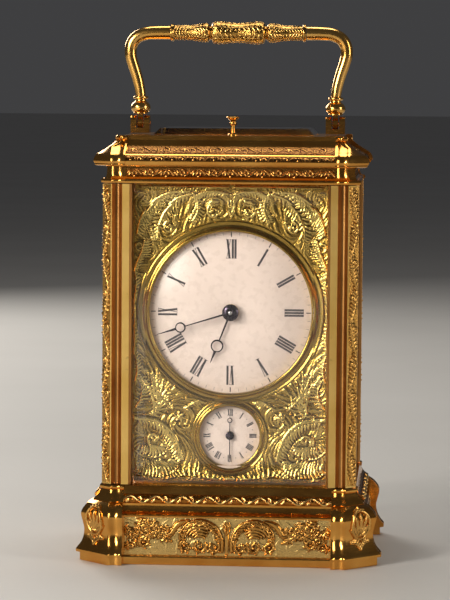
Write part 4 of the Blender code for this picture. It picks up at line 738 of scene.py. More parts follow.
def relief_sheet(name, relief, place, finish, keep_out=None, raised_only=False):
    """A thin closed sheet: its outer side carries the relief, its inner side is sunk in the metal behind.
    place(x, y, h) gives points in millimetres for arrays of places on the sheet and heights above it.
    raised_only leaves the bare ground between the ornament out."""
    gx, gy = np.meshgrid(relief.x, relief.y)
    rows, columns = gx.shape
    outer = place(gx, gy, relief.h)
    inner = place(gx, gy, np.full_like(relief.h, -SHEET_DEPTH))
    count = rows * columns
    index = np.arange(count).reshape(rows, columns)
    quads = np.stack([index[:-1, :-1], index[:-1, 1:], index[1:, 1:], index[1:, :-1]], -1)
    whole = np.ones(quads.shape[:2], bool)
    if keep_out is not None:
        dead = keep_out(gx, gy)
        whole &= ~(dead[:-1, :-1] | dead[:-1, 1:] | dead[1:, 1:] | dead[1:, :-1])
    if raised_only:
        raised = relief.h > 0.02
        whole &= raised[:-1, :-1] & raised[:-1, 1:] & raised[1:, 1:] & raised[1:, :-1]
        for _ in range(4):  # drop squares that meet the rest only at a corner
            p = np.pad(whole, 1)
            sides = p[:-2, 1:-1].astype(int) + p[2:, 1:-1] + p[1:-1, :-2] + p[1:-1, 2:]
            whole &= sides >= 2
            pinch = p[1:-1, 1:-1] & p[2:, 2:] & ~p[2:, 1:-1] & ~p[1:-1, 2:]
            pinch |= p[1:-1, 1:-1] & p[2:, :-2] & ~p[2:, 1:-1] & ~p[1:-1, :-2]
            whole &= ~pinch
    quads = quads[whole].reshape(-1, 4)
    edges = np.concatenate([quads[:, [0, 1]], quads[:, [1, 2]], quads[:, [2, 3]], quads[:, [3, 0]]])
    key = edges.min(1).astype(np.int64) * count + edges.max(1)
    _, first, number = np.unique(key, return_index=True, return_counts=True)
    rim = edges[first[number == 1]]
    walls = np.stack([rim[:, 1], rim[:, 0], rim[:, 0] + count, rim[:, 1] + count], 1)
    faces = np.concatenate([quads, quads[:, ::-1] + count, walls])
    points = np.concatenate([outer.reshape(-1, 3), inner.reshape(-1, 3)])
    used = np.unique(faces)
    remap = np.full(len(points), -1)
    remap[used] = np.arange(len(used))
    mesh = mesh_of(name, points[used], remap[faces])
    heights = np.clip(relief.h / max(relief.h.max(), 1e-6), 0, 1).ravel()
    cavity_shade = relief.cavity_shade().ravel()
    set_attribute(mesh, "relief", np.concatenate([heights, heights * 0])[used])
    # The cavity mask carries painted shade for the recesses.
    set_attribute(mesh, "cavity_shade", np.concatenate([cavity_shade, cavity_shade])[used])
    add_piece(name, mesh, finish, "case", smooth=60)


# ---- the case mouldings ---------------------------------------------------------------------------
# (height, overhang) pairs of the corner blocks and of the rails between them. Each list is a smooth run;
# a new run starts after a sharp edge.
BASE_BLOCK = [
    [(0, 7.4), (2.6, 7.4)],
    [(2.8, 8.7), (3.1, 8.78), (3.5, 8.78), (4.0, 8.65), (5.3, 7.55), (7.4, 6.4), (10.4, 5.9), (13.0, 6.4),
     (15.3, 7.0), (16.6, 6.9), (17.8, 6.3), (19.3, 5.0), (20.3, 3.5), (20.6, 2.9)],
    [(20.7, 2.95), (21.2, 2.6), (22.9, 1.0), (24.5, 0.15)],
    [(24.6, 0.3), (24.8, 0.6), (25.3, 0.72), (25.8, 0.6), (26.0, 0.4)],
]
BASE_RAIL = [
    [(0, 4.3), (2.3, 4.3), (2.8, 4.2)],
    [(3.0, 3.0), (15.9, 3.0)],
    [(16.1, 3.7), (16.5, 3.7), (16.8, 3.5), (17.6, 2.3), (18.6, 1.65), (19.6, 1.45), (20.2, 1.5)],
    [(20.3, 2.1), (20.9, 2.5), (21.8, 2.55), (22.6, 2.1), (23.2, 1.3)],
    [(23.3, 0.9), (24.4, 0.55), (26.0, 0.0)],
]
TOP_BLOCK = [
    [(0.0, 0.4), (0.3, 0.6), (0.7, 0.7), (1.1, 0.6), (1.4, 0.3)],
    [(1.5, -0.7), (2.2, -1.1), (3.3, -1.35), (5.5, -1.4)],
    [(5.6, 1.9), (5.8, 2.5), (6.1, 2.8), (6.4, 2.7)],
    [(6.5, 2.95), (7.0, 3.2), (7.5, 3.25), (8.3, 3.0), (9.0, 2.6), (9.8, 1.7), (11.1, -0.5), (12.3, -2.3),
     (13.4, -3.6), (14.2, -4.3)],
    [(14.3, -4.2), (14.9, -3.9), (15.5, -4.1), (15.8, -4.4)],
]
TOP_RAIL = [
    [(0.0, 0.0), (0.3, 0.1), (1.0, 0.1), (1.3, 0.0)],
    [(1.4, -0.9), (2.2, -1.5), (3.3, -1.9), (5.5, -2.0)],
    [(5.6, 0.9), (5.8, 1.1), (6.4, 1.6), (7.1, 1.9), (7.7, 1.85), (8.3, 1.5), (9.0, 0.85), (9.6, 0.15)],
    [(9.7, -0.1), (10.3, -1.6), (11.1, -3.1), (12.0, -4.3), (13.0, -5.2), (14.3, -5.9)],
    [(14.4, -5.9), (15.8, -5.9)],
]


def profile_values(runs, heights):
    """The overhang at each height, smooth within a run."""
    out = np.zeros(len(heights))
    for run in runs:
        curve = smooth_line(run, 8) if len(run) > 2 else np.array(run, float)
        inside = heights >= run[0][0] - 1e-9
        out[inside] = np.interp(heights[inside], curve[:, 0], curve[:, 1])
    for before, after in zip(runs, runs[1:]):
        gap = (heights > before[-1][0]) & (heights < after[0][0])
        out[gap] = np.interp(heights[gap], [before[-1][0], after[0][0]], [before[-1][1], after[0][1]])
    return out


def profile_heights(*sets, step=0.3):
    stops = sorted({h for runs in sets for run in runs for h, _ in (run[0], run[-1])})
    out = []
    for low, high in zip(stops, stops[1:]):
        count = max(1, int(math.ceil((high - low) / step)))
        out += list(np.linspace(low, high, count, endpoint=False))
    return np.array(out + [stops[-1]])


def hollow_line(start, end, depth, steps):
    """A shallow hollow from start to end, to the left of the way there."""
    start, end = np.array(start, float), np.array(end, float)
    chord = end - start
    normal = np.array([-chord[1], chord[0]]) / np.linalg.norm(chord)
    t = np.linspace(0, 1, steps + 1)[:, None]
    return start + chord * t + normal * depth * (1 - (2 * t - 1) ** 2)


def cant_leg(block):
    return CANT + max(block, SHORTEST_CANT - CANT)


def corner_plan(block, rail, steps=8, hollow=0.8):
    """The plan of one corner block and the ends of the rails beside it."""
    leg = cant_leg(block)
    side, back = HALF_W + block, HALF_D + block
    block_x, block_y = HALF_W - BLOCK, HALF_D - BLOCK
    side_face = hollow_line((side, block_y + 0.7), (side, back - leg - 0.3), hollow, steps)
    back_face = hollow_line((side - leg - 0.3, back), (block_x + 0.7, back), hollow, steps)
    return np.vstack([
        [(HALF_W + rail, block_y), (side, block_y)],
        side_face,
        [(side, back - leg), (side - leg, back)],
        back_face,
        [(block_x, back), (block_x, HALF_D + rail)],
    ])


def moulding_mesh(name, block_runs, rail_runs, bottom):
    heights = profile_heights(block_runs, rail_runs)
    blocks, rails = profile_values(block_runs, heights), profile_values(rail_runs, heights)
    rings = []
    for height, block, rail in zip(heights, blocks, rails):
        corner = corner_plan(block, rail)
        back = corner[::-1]
        plan = np.vstack([corner, back * (-1, 1), corner * (-1, -1), back * (1, -1)])
        rings.append(np.column_stack([plan, np.full(len(plan), bottom + height)]))
    count = len(rings[0])
    points = np.concatenate(rings)
    mesh = mesh_of(name, points, ring_faces(len(rings), count))
    bm = bmesh.new()
    bm.from_mesh(mesh)
    bm.verts.ensure_lookup_table()
    bm.faces.new([bm.verts[i] for i in reversed(range(count))])
    top = len(points) - count
    bm.faces.new([bm.verts[top + i] for i in range(count)])
    bmesh.ops.recalc_face_normals(bm, faces=bm.faces)
    bm.to_mesh(mesh)
    bm.free()
    return mesh


def box_cutter(low, high):
    bm = bmesh.new()
    bmesh.ops.create_cube(bm, size=1)
    low, high = Vector(low), Vector(high)
    bmesh.ops.scale(bm, vec=(high - low) * MM, verts=bm.verts)
    bmesh.ops.translate(bm, vec=(high + low) / 2 * MM, verts=bm.verts)
    return mesh_from(bm, "cutter")


def cut_mesh(mesh, cutters):
    """The mesh with each cutter mesh taken out of it."""
    carrier = bpy.data.objects.new("carrier", mesh)
    bpy.context.scene.collection.objects.link(carrier)
    helpers = []
    for cutter in cutters:
        helper = bpy.data.objects.new("helper", cutter)
        bpy.context.scene.collection.objects.link(helper)
        helpers.append(helper)
        modifier = carrier.modifiers.new("cut", "BOOLEAN")
        modifier.operation, modifier.object, modifier.solver = "DIFFERENCE", helper, "EXACT"
    bpy.context.view_layer.update()
    graph = bpy.context.evaluated_depsgraph_get()
    result = bpy.data.meshes.new_from_object(carrier.evaluated_get(graph))
    for obj in [carrier, *helpers]:
        bpy.data.objects.remove(obj)
    return result


def build_mouldings():
    cavity_x, cavity_y, ledge = mm_box("base_plate")[1] + CLEARANCE
    base = cut_mesh(moulding_mesh("base", BASE_BLOCK, BASE_RAIL, 0), [
        box_cutter((-cavity_x, -cavity_y, -5), (cavity_x, cavity_y, ledge)),
        box_cutter((-cavity_x + 5, -cavity_y + 5, ledge - 5), (cavity_x - 5, cavity_y - 5, BASE_TOP + 5)),
    ])
    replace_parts(add_piece("base_moulding", base, GILT, "case", 30), "base_frame")
    glass_low, (glass_x, glass_y, _) = mm_box("top_glass")
    room_x, room_y = HALF_W - TOP_RIM, HALF_D - TOP_RIM
    seat_x, seat_y, seat_z = glass_x + CLEARANCE, glass_y + CLEARANCE, glass_low[2] - CLEARANCE
    sight_x, sight_y = glass_x - GLASS_LEDGE, glass_y - GLASS_LEDGE
    top = cut_mesh(moulding_mesh("top", TOP_BLOCK, TOP_RAIL, TOP_Z0), [
        box_cutter((-room_x, -room_y, TOP_Z0 - 5), (room_x, room_y, TOP_Z1 - TOP_DECK)),
        box_cutter((-seat_x, -seat_y, seat_z), (seat_x, seat_y, TOP_Z1 + 5)),
        box_cutter((-sight_x, -sight_y, TOP_Z0), (sight_x, sight_y, TOP_Z1)),
    ])
    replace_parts(add_piece("top_moulding", top, GILT, "case", 30), "top_frame")


def build_pillars():
    """Each pillar: a canted corner, a smooth hollow on both faces and the glass slots."""
    p, chamfer = PILLAR_SIDE, PILLAR_CHAMFER
    strip_edge = p - PILLAR_STRIP - chamfer
    slot_end = p - SLOT_DEPTH
    hollow_x = hollow_line((CANT + 0.4, 0), (strip_edge, 0), PILLAR_HOLLOW, 18)
    hollow_y = hollow_line((0, strip_edge), (0, CANT + 0.4), PILLAR_HOLLOW, 18)
    slot_x = [(p, SLOT_FROM), (slot_end, SLOT_FROM), (slot_end, SLOT_TO), (p, SLOT_TO)]
    slot_y = [(SLOT_TO, p), (SLOT_TO, slot_end), (SLOT_FROM, slot_end), (SLOT_FROM, p)]
    for corner, sx, sy in CORNERS:
        plan = [(CANT, 0), *hollow_x, (p - chamfer, 0), (p, chamfer)] + (slot_x if sy < 0 else [])
        plan += [(p, p)] + slot_y + [(chamfer, p), (0, p - chamfer), *hollow_y, (0, CANT)]
        in_hollow = [min(u, v) > 0.02 or max(u, v) > p - 0.01 for u, v in plan]
        low, high = (
            [(sx * (HALF_W - u), sy * (HALF_D - v), z) for u, v in plan] for z in (PILLAR_Z0, PILLAR_Z1)
        )
        bm = bmesh.new()
        for i, wall in enumerate(prism(bm, low, high)):
            # The hollow's walls take the darker second material as painted shade.
            wall.material_index = int(in_hollow[i] or in_hollow[(i + 1) % len(plan)])
        piece = add_piece(
            f"pillar_{corner}_gorge", mesh_from(bm, "pillar"), PILLAR_LIT_GOLD, "case", 30
        )
        piece.data.materials.append(GORGE_SHADED_GOLD)
        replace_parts(piece, f"pillar_{corner}")


# ---- ornament ---------------------------------------------------------------------------------------
def on_face(face, along, out, z):
    """Points on a face of the case: along it, out from the clock's middle, and up."""
    if face == "front":
        return np.stack([along, -out, z], -1)
    if face == "back":
        return np.stack([-along, out, z], -1)
    if face == "right":
        return np.stack([out, along, z], -1)
    return np.stack([-out, -along, z], -1)


def face_place(face, low, base):
    """place() for a sheet on a face of the case. base is the distance of the face from the middle, and low
    is the sheet's lower corner along the face and in height."""
    return lambda x, y, h: on_face(face, x + low[0], base + h, y + low[1])


def mask_relief():
    """The mask's ornament: the right half is drawn, from the middle and the bottom edge, and mirrored."""
    r = Relief(MASK_HIGH[0], MASK_HIGH[2] - MASK_LOW[2], 0.25)
    eyes = (
        (22.0, 9.0, 1), (17.0, 20.5, -1), (29.5, 33.0, 1), (30.0, 80.0, -1), (22.0, 85.0, 1), (4.4, 91.2, -1),
        (29.0, 95.0, 1),
    )

    def heading(x, y):
        ex = ey = 0.0
        for cx, cy, way in eyes:
            dx, dy = x - cx, y - cy
            weight = way / (dx * dx + dy * dy + 1.5)
            ex, ey = ex - (dy + 0.5 * dx) * weight, ey + (dx - 0.5 * dy) * weight
        return math.atan2(ey, ex)

    def leaf(points, side, count, length, wide=0.48, rise=0.46, spread=20, bend=66, stem=0.40):
        plume(r, smooth_line(points, 7), side, count, length, spread, bend, wide, rise, stem_wide=stem)

    r.strands(heading, 1000, 5.6, 0.40, 0.24, 3)
    # lower corner: leaves curl up from the bottom edge under a stem that rolls over them
    leaf([(31.9, 3.4), (28.0, 2.0), (23.6, 1.8), (19.4, 3.6), (17.0, 6.4)], -1, 13, 6.6, 0.60, 0.5, 64, 74)
    leaf([(31.9, 10.8), (29.0, 8.6), (25.6, 8.0), (22.2, 9.4), (20.6, 11.8)], -1, 10, 5.2, 0.54, 0.5, 60, 80)
    leaf(
        [(31.9, 21.4), (27.0, 21.2), (22.6, 19.6), (19.0, 16.2), (17.0, 11.8), (15.8, 7.4)], 1, 18, 5.6, 0.56,
        0.5, 26, 72, 0.85,
    )
    volute(r, (25.6, 14.4), 2.3, -40, 420, 0.42, 0.6, 8, 2.4, 1)
    leaf([(4.0, 0.9), (9.0, 1.4), (14.4, 2.8), (18.0, 2.0), (21.0, 0.9)], 1, 13, 3.0, 0.42, 0.40, 34, 66)
    rays(r, (0, -0.6), (90, 66, 114, 42, 138), 3.0, 0, 0.25, 8, 0.5, 0.45, 0.2)
    # a fan of long leaves springs from the edge above it
    for k, angle in enumerate((172, 163, 154, 145, 137, 129, 121, 113, 105, 97)):
        line = drift((28.6 - 0.3 * k, 22.6), angle, 6.0 + 1.15 * k, 38 - 10 * k, 14)
        r.stroke(line, taper(15, 0.56, tip=0.1), 0.55, vein=0.3, keep=0.25, groove=0.08)
    rays(r, (16.8, 22.0), range(0, 360, 60), 2.1, 40, 0, 6, 0.52, 0.55, 0.25)
    for x, y, size in (
        (16.8, 22.0, 0.5), (19.4, 25.2, 0.4), (14.8, 19.4, 0.42), (14.2, 24.4, 0.36), (21.8, 27.4, 0.4),
        (18.6, 19.2, 0.36), (23.8, 30.6, 0.36), (12.0, 26.4, 0.34), (20.8, 23.4, 0.36),
    ):
        r.bud(x, y, size, 0.7)
    leaf([(15.0, 25.0), (11.6, 27.2), (8.0, 28.2)], 1, 9, 2.4, 0.40, 0.42)
    leaf([(19.5, 24.6), (23.0, 28.2), (25.6, 32.4), (27.0, 36.0)], 1, 12, 3.6, 0.46, 0.46)
    leaf([(31.0, 25.0), (29.4, 28.0), (29.0, 31.4), (30.2, 34.6)], 1, 10, 4.0, 0.46, 0.46)
    # leaves climb the sides, following the bezel
    leaf([(31.2, 34.0), (30.6, 37.4), (30.9, 40.6), (31.9, 44.0)], 1, 10, 3.0, 0.42, 0.42)
    leaf([(31.9, 43.0), (31.5, 48.0), (31.6, 54.0), (31.9, 60.0)], 1, 14, 2.0, 0.38, 0.36)
    leaf([(31.9, 60.0), (31.4, 64.0), (31.2, 68.0), (31.6, 71.0)], 1, 11, 2.6, 0.42, 0.40)
    leaf([(31.8, 71.0), (30.6, 74.6), (29.2, 78.0), (28.2, 82.0)], 1, 12, 3.8, 0.46, 0.46)
    # upper corner: leaves sweep down and outwards from a knot near the top
    leaf(
        [(14.4, 97.2), (20.8, 97.0), (26.0, 94.0), (29.4, 89.4), (31.0, 83.6)], -1, 20, 5.2, 0.54, 0.5, 22,
        62, 0.7,
    )
    leaf(
        [(13.6, 96.6), (18.4, 94.8), (22.2, 91.2), (24.4, 86.4), (24.6, 82.2)], 1, 15, 4.6, 0.52, 0.5, 22, 70,
        0.7,
    )
    leaf([(13.6, 96.6), (18.4, 94.8), (22.2, 91.2), (24.4, 86.4)], -1, 12, 4.2, 0.50, 0.48, 24, 70, 0.6)
    volute(r, (20.6, 86.0), 2.3, 80, -430, 0.42, 0.6, 8, 2.2, -1)
    leaf([(12.8, 96.8), (11.2, 94.0), (11.4, 91.0), (13.0, 88.2)], 1, 10, 3.4, 0.46, 0.46)
    leaf([(12.8, 96.8), (11.2, 94.0), (11.4, 91.0), (13.0, 88.2)], -1, 10, 3.2, 0.46, 0.46, 22, 66, 0.5)
    # top middle: C-scrolls back to back round a bud
    volute(r, (5.8, 91.4), 2.9, 115, -450, 0.48, 0.62, 12, 2.6, -1)
    leaf([(1.4, 96.6), (5.4, 97.6), (9.6, 97.2), (12.6, 95.6)], -1, 12, 2.8, 0.44, 0.44, 28, 70)
    rays(r, (0, 89.2), (90, 70, 110), 6.4, 0, 1.1, 10, 0.5, 0.55, 0.3, 0.06)
    r.bud(0, 96.4, 0.5, 0.65)
    leaf([(1.0, 99.6), (12.0, 99.7), (22.0, 99.7), (31.0, 99.6)], -1, 30, 1.6, 0.32, 0.34)
    return r.mirrored().finished(5, 0.3, 0.05)


def build_mask():
    """The engraved mask, with its ornament brought down to the ground beside the bezels."""
    half = MASK_HIGH[0]

    def from_bezels(x, y):
        return np.minimum(
            np.hypot(x - half, y - (DIAL_Z - MASK_LOW[2])) - BEZEL_R,
            np.hypot(x - half, y - (ALARM_Z - MASK_LOW[2])) - ALARM_BEZEL_R,
        )

    whole = mask_relief()
    near = from_bezels(whole.x[None, :], whole.y[:, None])
    whole.h *= np.clip((near - 0.1) / 0.5, 0, 1)
    place = face_place("front", (-half, MASK_LOW[2]), -MASK_Y + PROUD)
    relief_sheet("mask_engraving", whole, place, MASK_GOLD, lambda x, y: from_bezels(x, y) < -0.7)


def base_panel(width):
    """A base panel's ornament: its right half is drawn and mirrored."""
    r = Relief(width / 2, 12.6, 0.18)
    r.strands(lambda x, y: 1.2 + 0.5 * sin(x * 0.7) + 0.9 * cos(y * 0.6 + x * 0.3), 70, 3.4, 0.34, 0.14, 4)
    # a fern-like leaf rolls over curls on each side of the middle
    stem = smooth_line(
        [(1.6, 1.6), (1.7, 5.8), (3.8, 9.8), (8.2, 11.9), (12.6, 11.2), (15.4, 8.2), (15.8, 4.8)], 7
    )
    plume(r, stem, -1, 22, 6.8, 14, 62, 0.66, 0.8, stem_wide=0.55)
    arcs(r, (9.2, 4.6), np.linspace(2.2, 5.0, 4), 150, -120, 0.6, 0.8, -6.0)
    for x, y, radius, start, turn in (
        (4.6, 2.9, 2.2, 150, 400), (9.2, 3.2, 2.4, 160, 430), (13.8, 3.0, 2.1, 60, -400)
    ):
        volute(r, (x, y), radius, start, turn, 0.44, 0.85, 6, 1.3, 1 if turn < 0 else -1)
    r.stroke([(0, 0.8), (0, 8.6)], [0.5, 0.8], 0.6, vein=0.3)
    rays(r, (0, 7.2), (90, 66, 114), 4.2, 0, 1.2, 8, 0.75, 0.9, 0.3, 0.06)
    # a smooth pointed leaf divides it from the lighter sprays beyond
    line = smooth_line([(12.6, 12.0), (16.4, 10.4), (19.0, 6.8), (22.0, 4.4)], 6)
    r.stroke(line, taper(19, 1.0, tip=0.1, root=0.2), 1.0, vein=0.1, keep=0.1, groove=0.1)
    span = width / 2 - 19
    for k, (y, bend) in enumerate(((4.6, 30), (6.8, -24), (9.0, -40))):
        stem = drift((18.6, y), 24 - 14 * k, span * 0.95, bend, 14)
        plume(r, stem, 1, 12, 2.9, 20, 66, 0.46, 0.7)
        plume(r, stem, -1, 12, 2.9, 20, 66, 0.46, 0.7, stem_wide=0.42)
    volute(r, (21.6, 8.6), 1.8, 150, 430, 0.42, 0.8, 6, 1.4, -1)
    volute(r, (19 + span * 0.55, 4.4), 1.9, 30, -420, 0.42, 0.8, 6, 1.4, 1)
    for share, y, size in ((0.34, 10.2, 0.9), (0.66, 9.4, 1.0), (0.92, 8.2, 1.0), (0.90, 3.0, 0.8)):
        x = 19 + span * share
        rays(r, (x, y), range(20, 380, 60), 2.1 * size, 35, 0, 6, 0.55 * size, 0.8, 0.3)
        r.bud(x, y, 0.42, 0.95)
    return r.mirrored().finished(8, 0.15, 0.04)


def running_scroll(length, height, period, rise, wide):
    """A narrow band of running scrollwork."""
    r = Relief(length, height, 0.2)
    count = max(2, int(round(length / period)))
    pitch = length / count
    middle = height / 2
    for i in range(count):
        x = (i + 0.5) * pitch
        flip = 1 if i % 2 else -1
        scroll = spiral((x, middle), height * 0.36, height * 0.1, 90 * flip, -300 * flip, 18)
        r.stroke(scroll, np.linspace(wide, wide * 0.5, 19), rise, keep=0.2)
        start = (x - pitch * 0.30, middle - flip * height * 0.25)
        for k, heading in enumerate((20, 65, 110)):
            line = drift(start, flip * heading, height * (0.62 - 0.08 * k), flip * 60, 7)
            r.stroke(line, taper(8, wide * 0.9), rise, vein=0.25, keep=0.2)
        start = (x + pitch * 0.15, middle - flip * height * 0.32)
        r.stroke(drift(start, flip * 25, pitch * 0.5, flip * 35, 7), taper(8, wide), rise, keep=0.2)
    edge = np.minimum(r.y, r.height - r.y)[:, None]
    r.h *= np.clip((edge - 0.02) / 0.15, 0, 1)
    return r


def rope_band(length, height):
    """A winding ribbon with slanting leaves in its bends and a bead at every second crossing."""
    period, wide, rise = 8.2, 0.40, 0.55
    r = Relief(length, height, 0.16)
    count = max(1, int(round(length / period)))
    pitch = length / count
    xs = np.linspace(0, length, count * 24 + 1)
    middle, swing = height / 2, height * 0.32
    ribbon = np.column_stack([xs, middle + swing * np.sin(2 * pi * xs / pitch)])
    for k in range(2 * count):
        x = (k + 0.5) * pitch / 2
        flip = -1 if k % 2 else 1
        for i, heading in enumerate((28, 52, 78)):
            start = (x - pitch * 0.20 + 0.55 * i, middle - flip * height * 0.34)
            line = drift(start, flip * heading, height * 0.62, flip * 26, 7)
            r.stroke(line, taper(8, wide * 0.85), rise * 0.8, vein=0.2, keep=0.2)
    r.stroke(ribbon, wide, rise, vein=0.25, keep=0.1, groove=0.06)
    for k in range(count):
        r.bud(k * pitch + pitch * 0.52, middle - height * 0.12, height * 0.13, rise * 1.3)
    return r


def rail_place(face, start, bottom, runs, low):
    """place() for a sheet that follows a rail's profile from height low upwards."""
    half = HALF_D if face in ("front", "back") else HALF_W
    heights = np.linspace(0, 40, 2001)
    values = profile_values(runs, np.minimum(heights, runs[-1][-1][0]))
    arc = np.concatenate([[0], np.cumsum(np.hypot(np.diff(heights), np.diff(values)))])
    base_arc = np.interp(low, heights, arc)
    slopes = np.gradient(values, heights)

    def place(x, y, h):
        height = np.interp(base_arc + y, arc, heights)
        out = np.interp(height, heights, values)
        slope = np.interp(height, heights, slopes)
        scale = 1 / np.sqrt(1 + slope**2)
        far = half + out + PROUD * scale + h * scale
        return on_face(face, x + start, far, bottom + height - h * slope * scale)

    return place


def build_bands():
    for face in FACES:
        along, out = (HALF_D, HALF_W) if face in ("left", "right") else (HALF_W, HALF_D)
        width = 2 * (along - BLOCK) - CLEARANCE
        place = face_place(face, (-width / 2, 3.15), out + PANEL_OUT + PROUD)
        relief_sheet(f"base_panel_{face}", base_panel(width), place, PANEL_GOLD)
        place = rail_place(face, -width / 2, 0, BASE_RAIL, 20.35)
        relief_sheet(f"base_rope_{face}", rope_band(width, 3.3), place, ROPE_GOLD)
        for name, low, scroll in (
            ("frieze", 2.0, (3.0, 5.2, 0.26, 0.32)),
            ("cove", 9.9, (4.6, 8.8, 0.26, 0.36)),
            ("cornice_leaf", 7.6, (1.8, 3.4, 0.20, 0.26)),
        ):
            place = rail_place(face, -width / 2, TOP_Z0, TOP_RAIL, low)
            # The cornice bands take the darker gilt, painted shade.
            relief_sheet(f"{name}_{face}", running_scroll(width, *scroll), place, CORNICE_SHADED_GOLD)


def pillar_band():
    """Leaves climbing in turn from one side to the other up the pillar's canted face."""
    width, height = CANT * sqrt(2) - 0.1, PILLAR_Z1 - PILLAR_Z0 - 1.0
    r = Relief(width, height, 0.2)
    count = 9
    pitch = height / count
    middle = width / 2
    for i in range(count):
        z = i * pitch
        flip = 1 if i % 2 else -1
        bends = ((-1.2, 0), (0.2, 0.3), (1.1, 0.65), (1.3, 1.05))
        stem = smooth_line([(middle + flip * x, z + pitch * share) for x, share in bends], 6)
        plume(r, stem, flip, 9, 3.4, 24, 80, 0.55, 0.62, 0.02, 0.9)
        plume(r, stem, -flip, 6, 1.6, 30, 90, 0.42, 0.55, 0.1, 0.85, stem_wide=0.5)
        eye = (middle - flip * 0.6, z + pitch * 0.72)
        curl = spiral(eye, 1.25, 0.35, 90 * flip, -330 * flip, 18)
        r.stroke(curl, np.linspace(0.46, 0.3, 19), 0.7, keep=0.1, groove=0.05)
        r.bud(*eye, 0.42, 0.8)
    return r


def build_pillar_bands():
    r = pillar_band()
    for corner, sx, sy in CORNERS:
        centre = np.array([sx * (HALF_W - CANT / 2), sy * (HALF_D - CANT / 2)])
        out = np.array([sx * DIAGONAL, sy * DIAGONAL])
        along = np.array([-sy * DIAGONAL, sx * DIAGONAL])

        def place(x, y, h):
            xy = centre + (x - r.width / 2)[..., None] * along + (h + PROUD)[..., None] * out
            return np.concatenate([xy, (y + PILLAR_Z0 + 0.5)[..., None]], -1)

        relief_sheet(f"pillar_leaves_{corner}", r, place, ENGRAVED)


def foot_leaf(width, height):
    """An oval shell above a spray of leaves, for the canted face of a foot."""
    r = Relief(width, height, 0.18)
    middle, eye = width / 2, height * 0.60
    across, up = width * 0.40, height * 0.30
    for angle in (-78, -52, -26, 0, 26, 52, 78):
        start = (middle + 0.2 * sin(radians(angle)), eye - up * 0.75)
        reach = up * (1.55 - 0.55 * abs(angle) / 78)
        line = drift(start, 90 - angle, reach, angle * 0.35, 9)
        r.stroke(line, taper(10, 0.75, tip=0.5), 0.55, vein=0.3, keep=0.2, groove=0.06)
    oval = [(middle + across * sin(t), eye - up * cos(t)) for t in np.linspace(0, 2 * pi, 40)]
    r.stroke(oval, 0.5, 0.7, keep=0.1, groove=0.08)
    r.bud(middle, eye - up * 0.72, 0.7, 0.75)
    for way in (-1, 1):
        stem = drift((middle + way * 0.2, height * 0.08), 90 - way * 24, height * 0.27, -way * 70)
        plume(r, stem, way, 7, 2.4, 30, 70, 0.48, 0.5, stem_wide=0.45)
        line = drift((middle + way * 0.4, eye + up * 1.08), 90 - way * 70, 2.4, -way * 60, 7)
        r.stroke(line, taper(8, 0.42), 0.5, keep=0.2)
    r.stroke([(middle, eye + up * 1.02), (middle, eye + up * 1.5)], [0.55, 0.2], 0.6, keep=0.2)
    return r


def build_foot_leaves():
    heights = np.linspace(0, 26, 521)
    values = profile_values(BASE_BLOCK, heights)
    slopes = np.gradient(values, heights)
    arc = np.concatenate([[0], np.cumsum(np.hypot(np.diff(heights), np.diff(values) * DIAGONAL))])
    low, high = np.interp([5.0, 20.0], heights, arc)
    r = foot_leaf(9.6, high - low)
    for corner, sx, sy in CORNERS:
        out = np.array([sx * DIAGONAL, sy * DIAGONAL])
        along = np.array([-sy * DIAGONAL, sx * DIAGONAL])
        edge = np.array([sx * HALF_W, sy * HALF_D])

        def place(x, y, h):
            z = np.interp(low + y, arc, heights)
            block = np.interp(z, heights, values)
            slope = np.interp(z, heights, slopes) * DIAGONAL
            scale = 1 / np.sqrt(1 + slope**2)
            leg = CANT + np.maximum(block, SHORTEST_CANT - CANT)
            far = (2 * block - leg) * DIAGONAL + (h + 0.03) * scale
            xy = edge + far[..., None] * out + (x - r.width / 2)[..., None] * along
            return np.concatenate([xy, (z - h * slope * scale)[..., None]], -1)

        relief_sheet(f"foot_leaf_{corner}", r, place, ENGRAVED, raised_only=True)


# ---- dials -----------------------------------------------------------------------------------------
def bar(r0, r1, x0a, x0b, x1a, x1b):
    """A numeral's stroke from radius r0, with edges at x0a and x0b, to r1, with edges at x1a and x1b."""
    return [(x0a, r0), (x0b, r0), (x1b, r1), (x1a, r1)]


NUMERALS = ["XII", "I", "II", "III", "IIII", "V", "VI", "VII", "VIII", "IX", "X", "XI"]


def numeral_strokes(text, r0, r1, thick, thin, advance):
    """Strokes of a Roman numeral that stands on radius r0, upright at twelve o'clock, centred on x = 0."""
    widths = {"I": advance, "V": advance * 2.1, "X": advance * 2.1}
    x = -sum(widths[c] for c in text) / 2
    strokes = []
    serif = (r1 - r0) * 0.018
    for c in text:
        w = widths[c]
        mid, left, right = x + w / 2, x + w * 0.12, x + w * 0.88
        if c == "I":
            edges = (mid - thick / 2, mid + thick / 2)
            strokes.append(bar(r0, r1, *edges, *edges))
        elif c == "V":
            strokes.append(bar(r0, r1, mid - thick / 2, mid + thick / 2, left, left + thick))
            strokes.append(bar(r0, r1, mid, mid + thin, right - thin, right))
        else:
            strokes.append(bar(r0, r1, right - thick, right, left, left + thick))
            strokes.append(bar(r0, r1, left, left + thin, right - thin, right))
        ends = (x + w * 0.06, x + w * 0.94)
        for r in (r0, r1 - serif):
            strokes.append(bar(r, r + serif, *ends, *ends))
        x += w
    return strokes


def flat_marks(name, marks, centre_z, y, finish):
    """Thin raised marks on a dial. Each mark is (points, angle clockwise from twelve)."""
    bm = bmesh.new()
    for points, angle in marks:
        c, s = cos(angle), sin(angle)
        turned = [(px * c + py * s, centre_z - px * s + py * c) for px, py in points]
        prism(bm, *([(px, at, pz) for px, pz in turned] for at in (y - MARK_THICK, y + PROUD)))
    add_piece(name, mesh_from(bm, name), finish, "case", smooth=0)


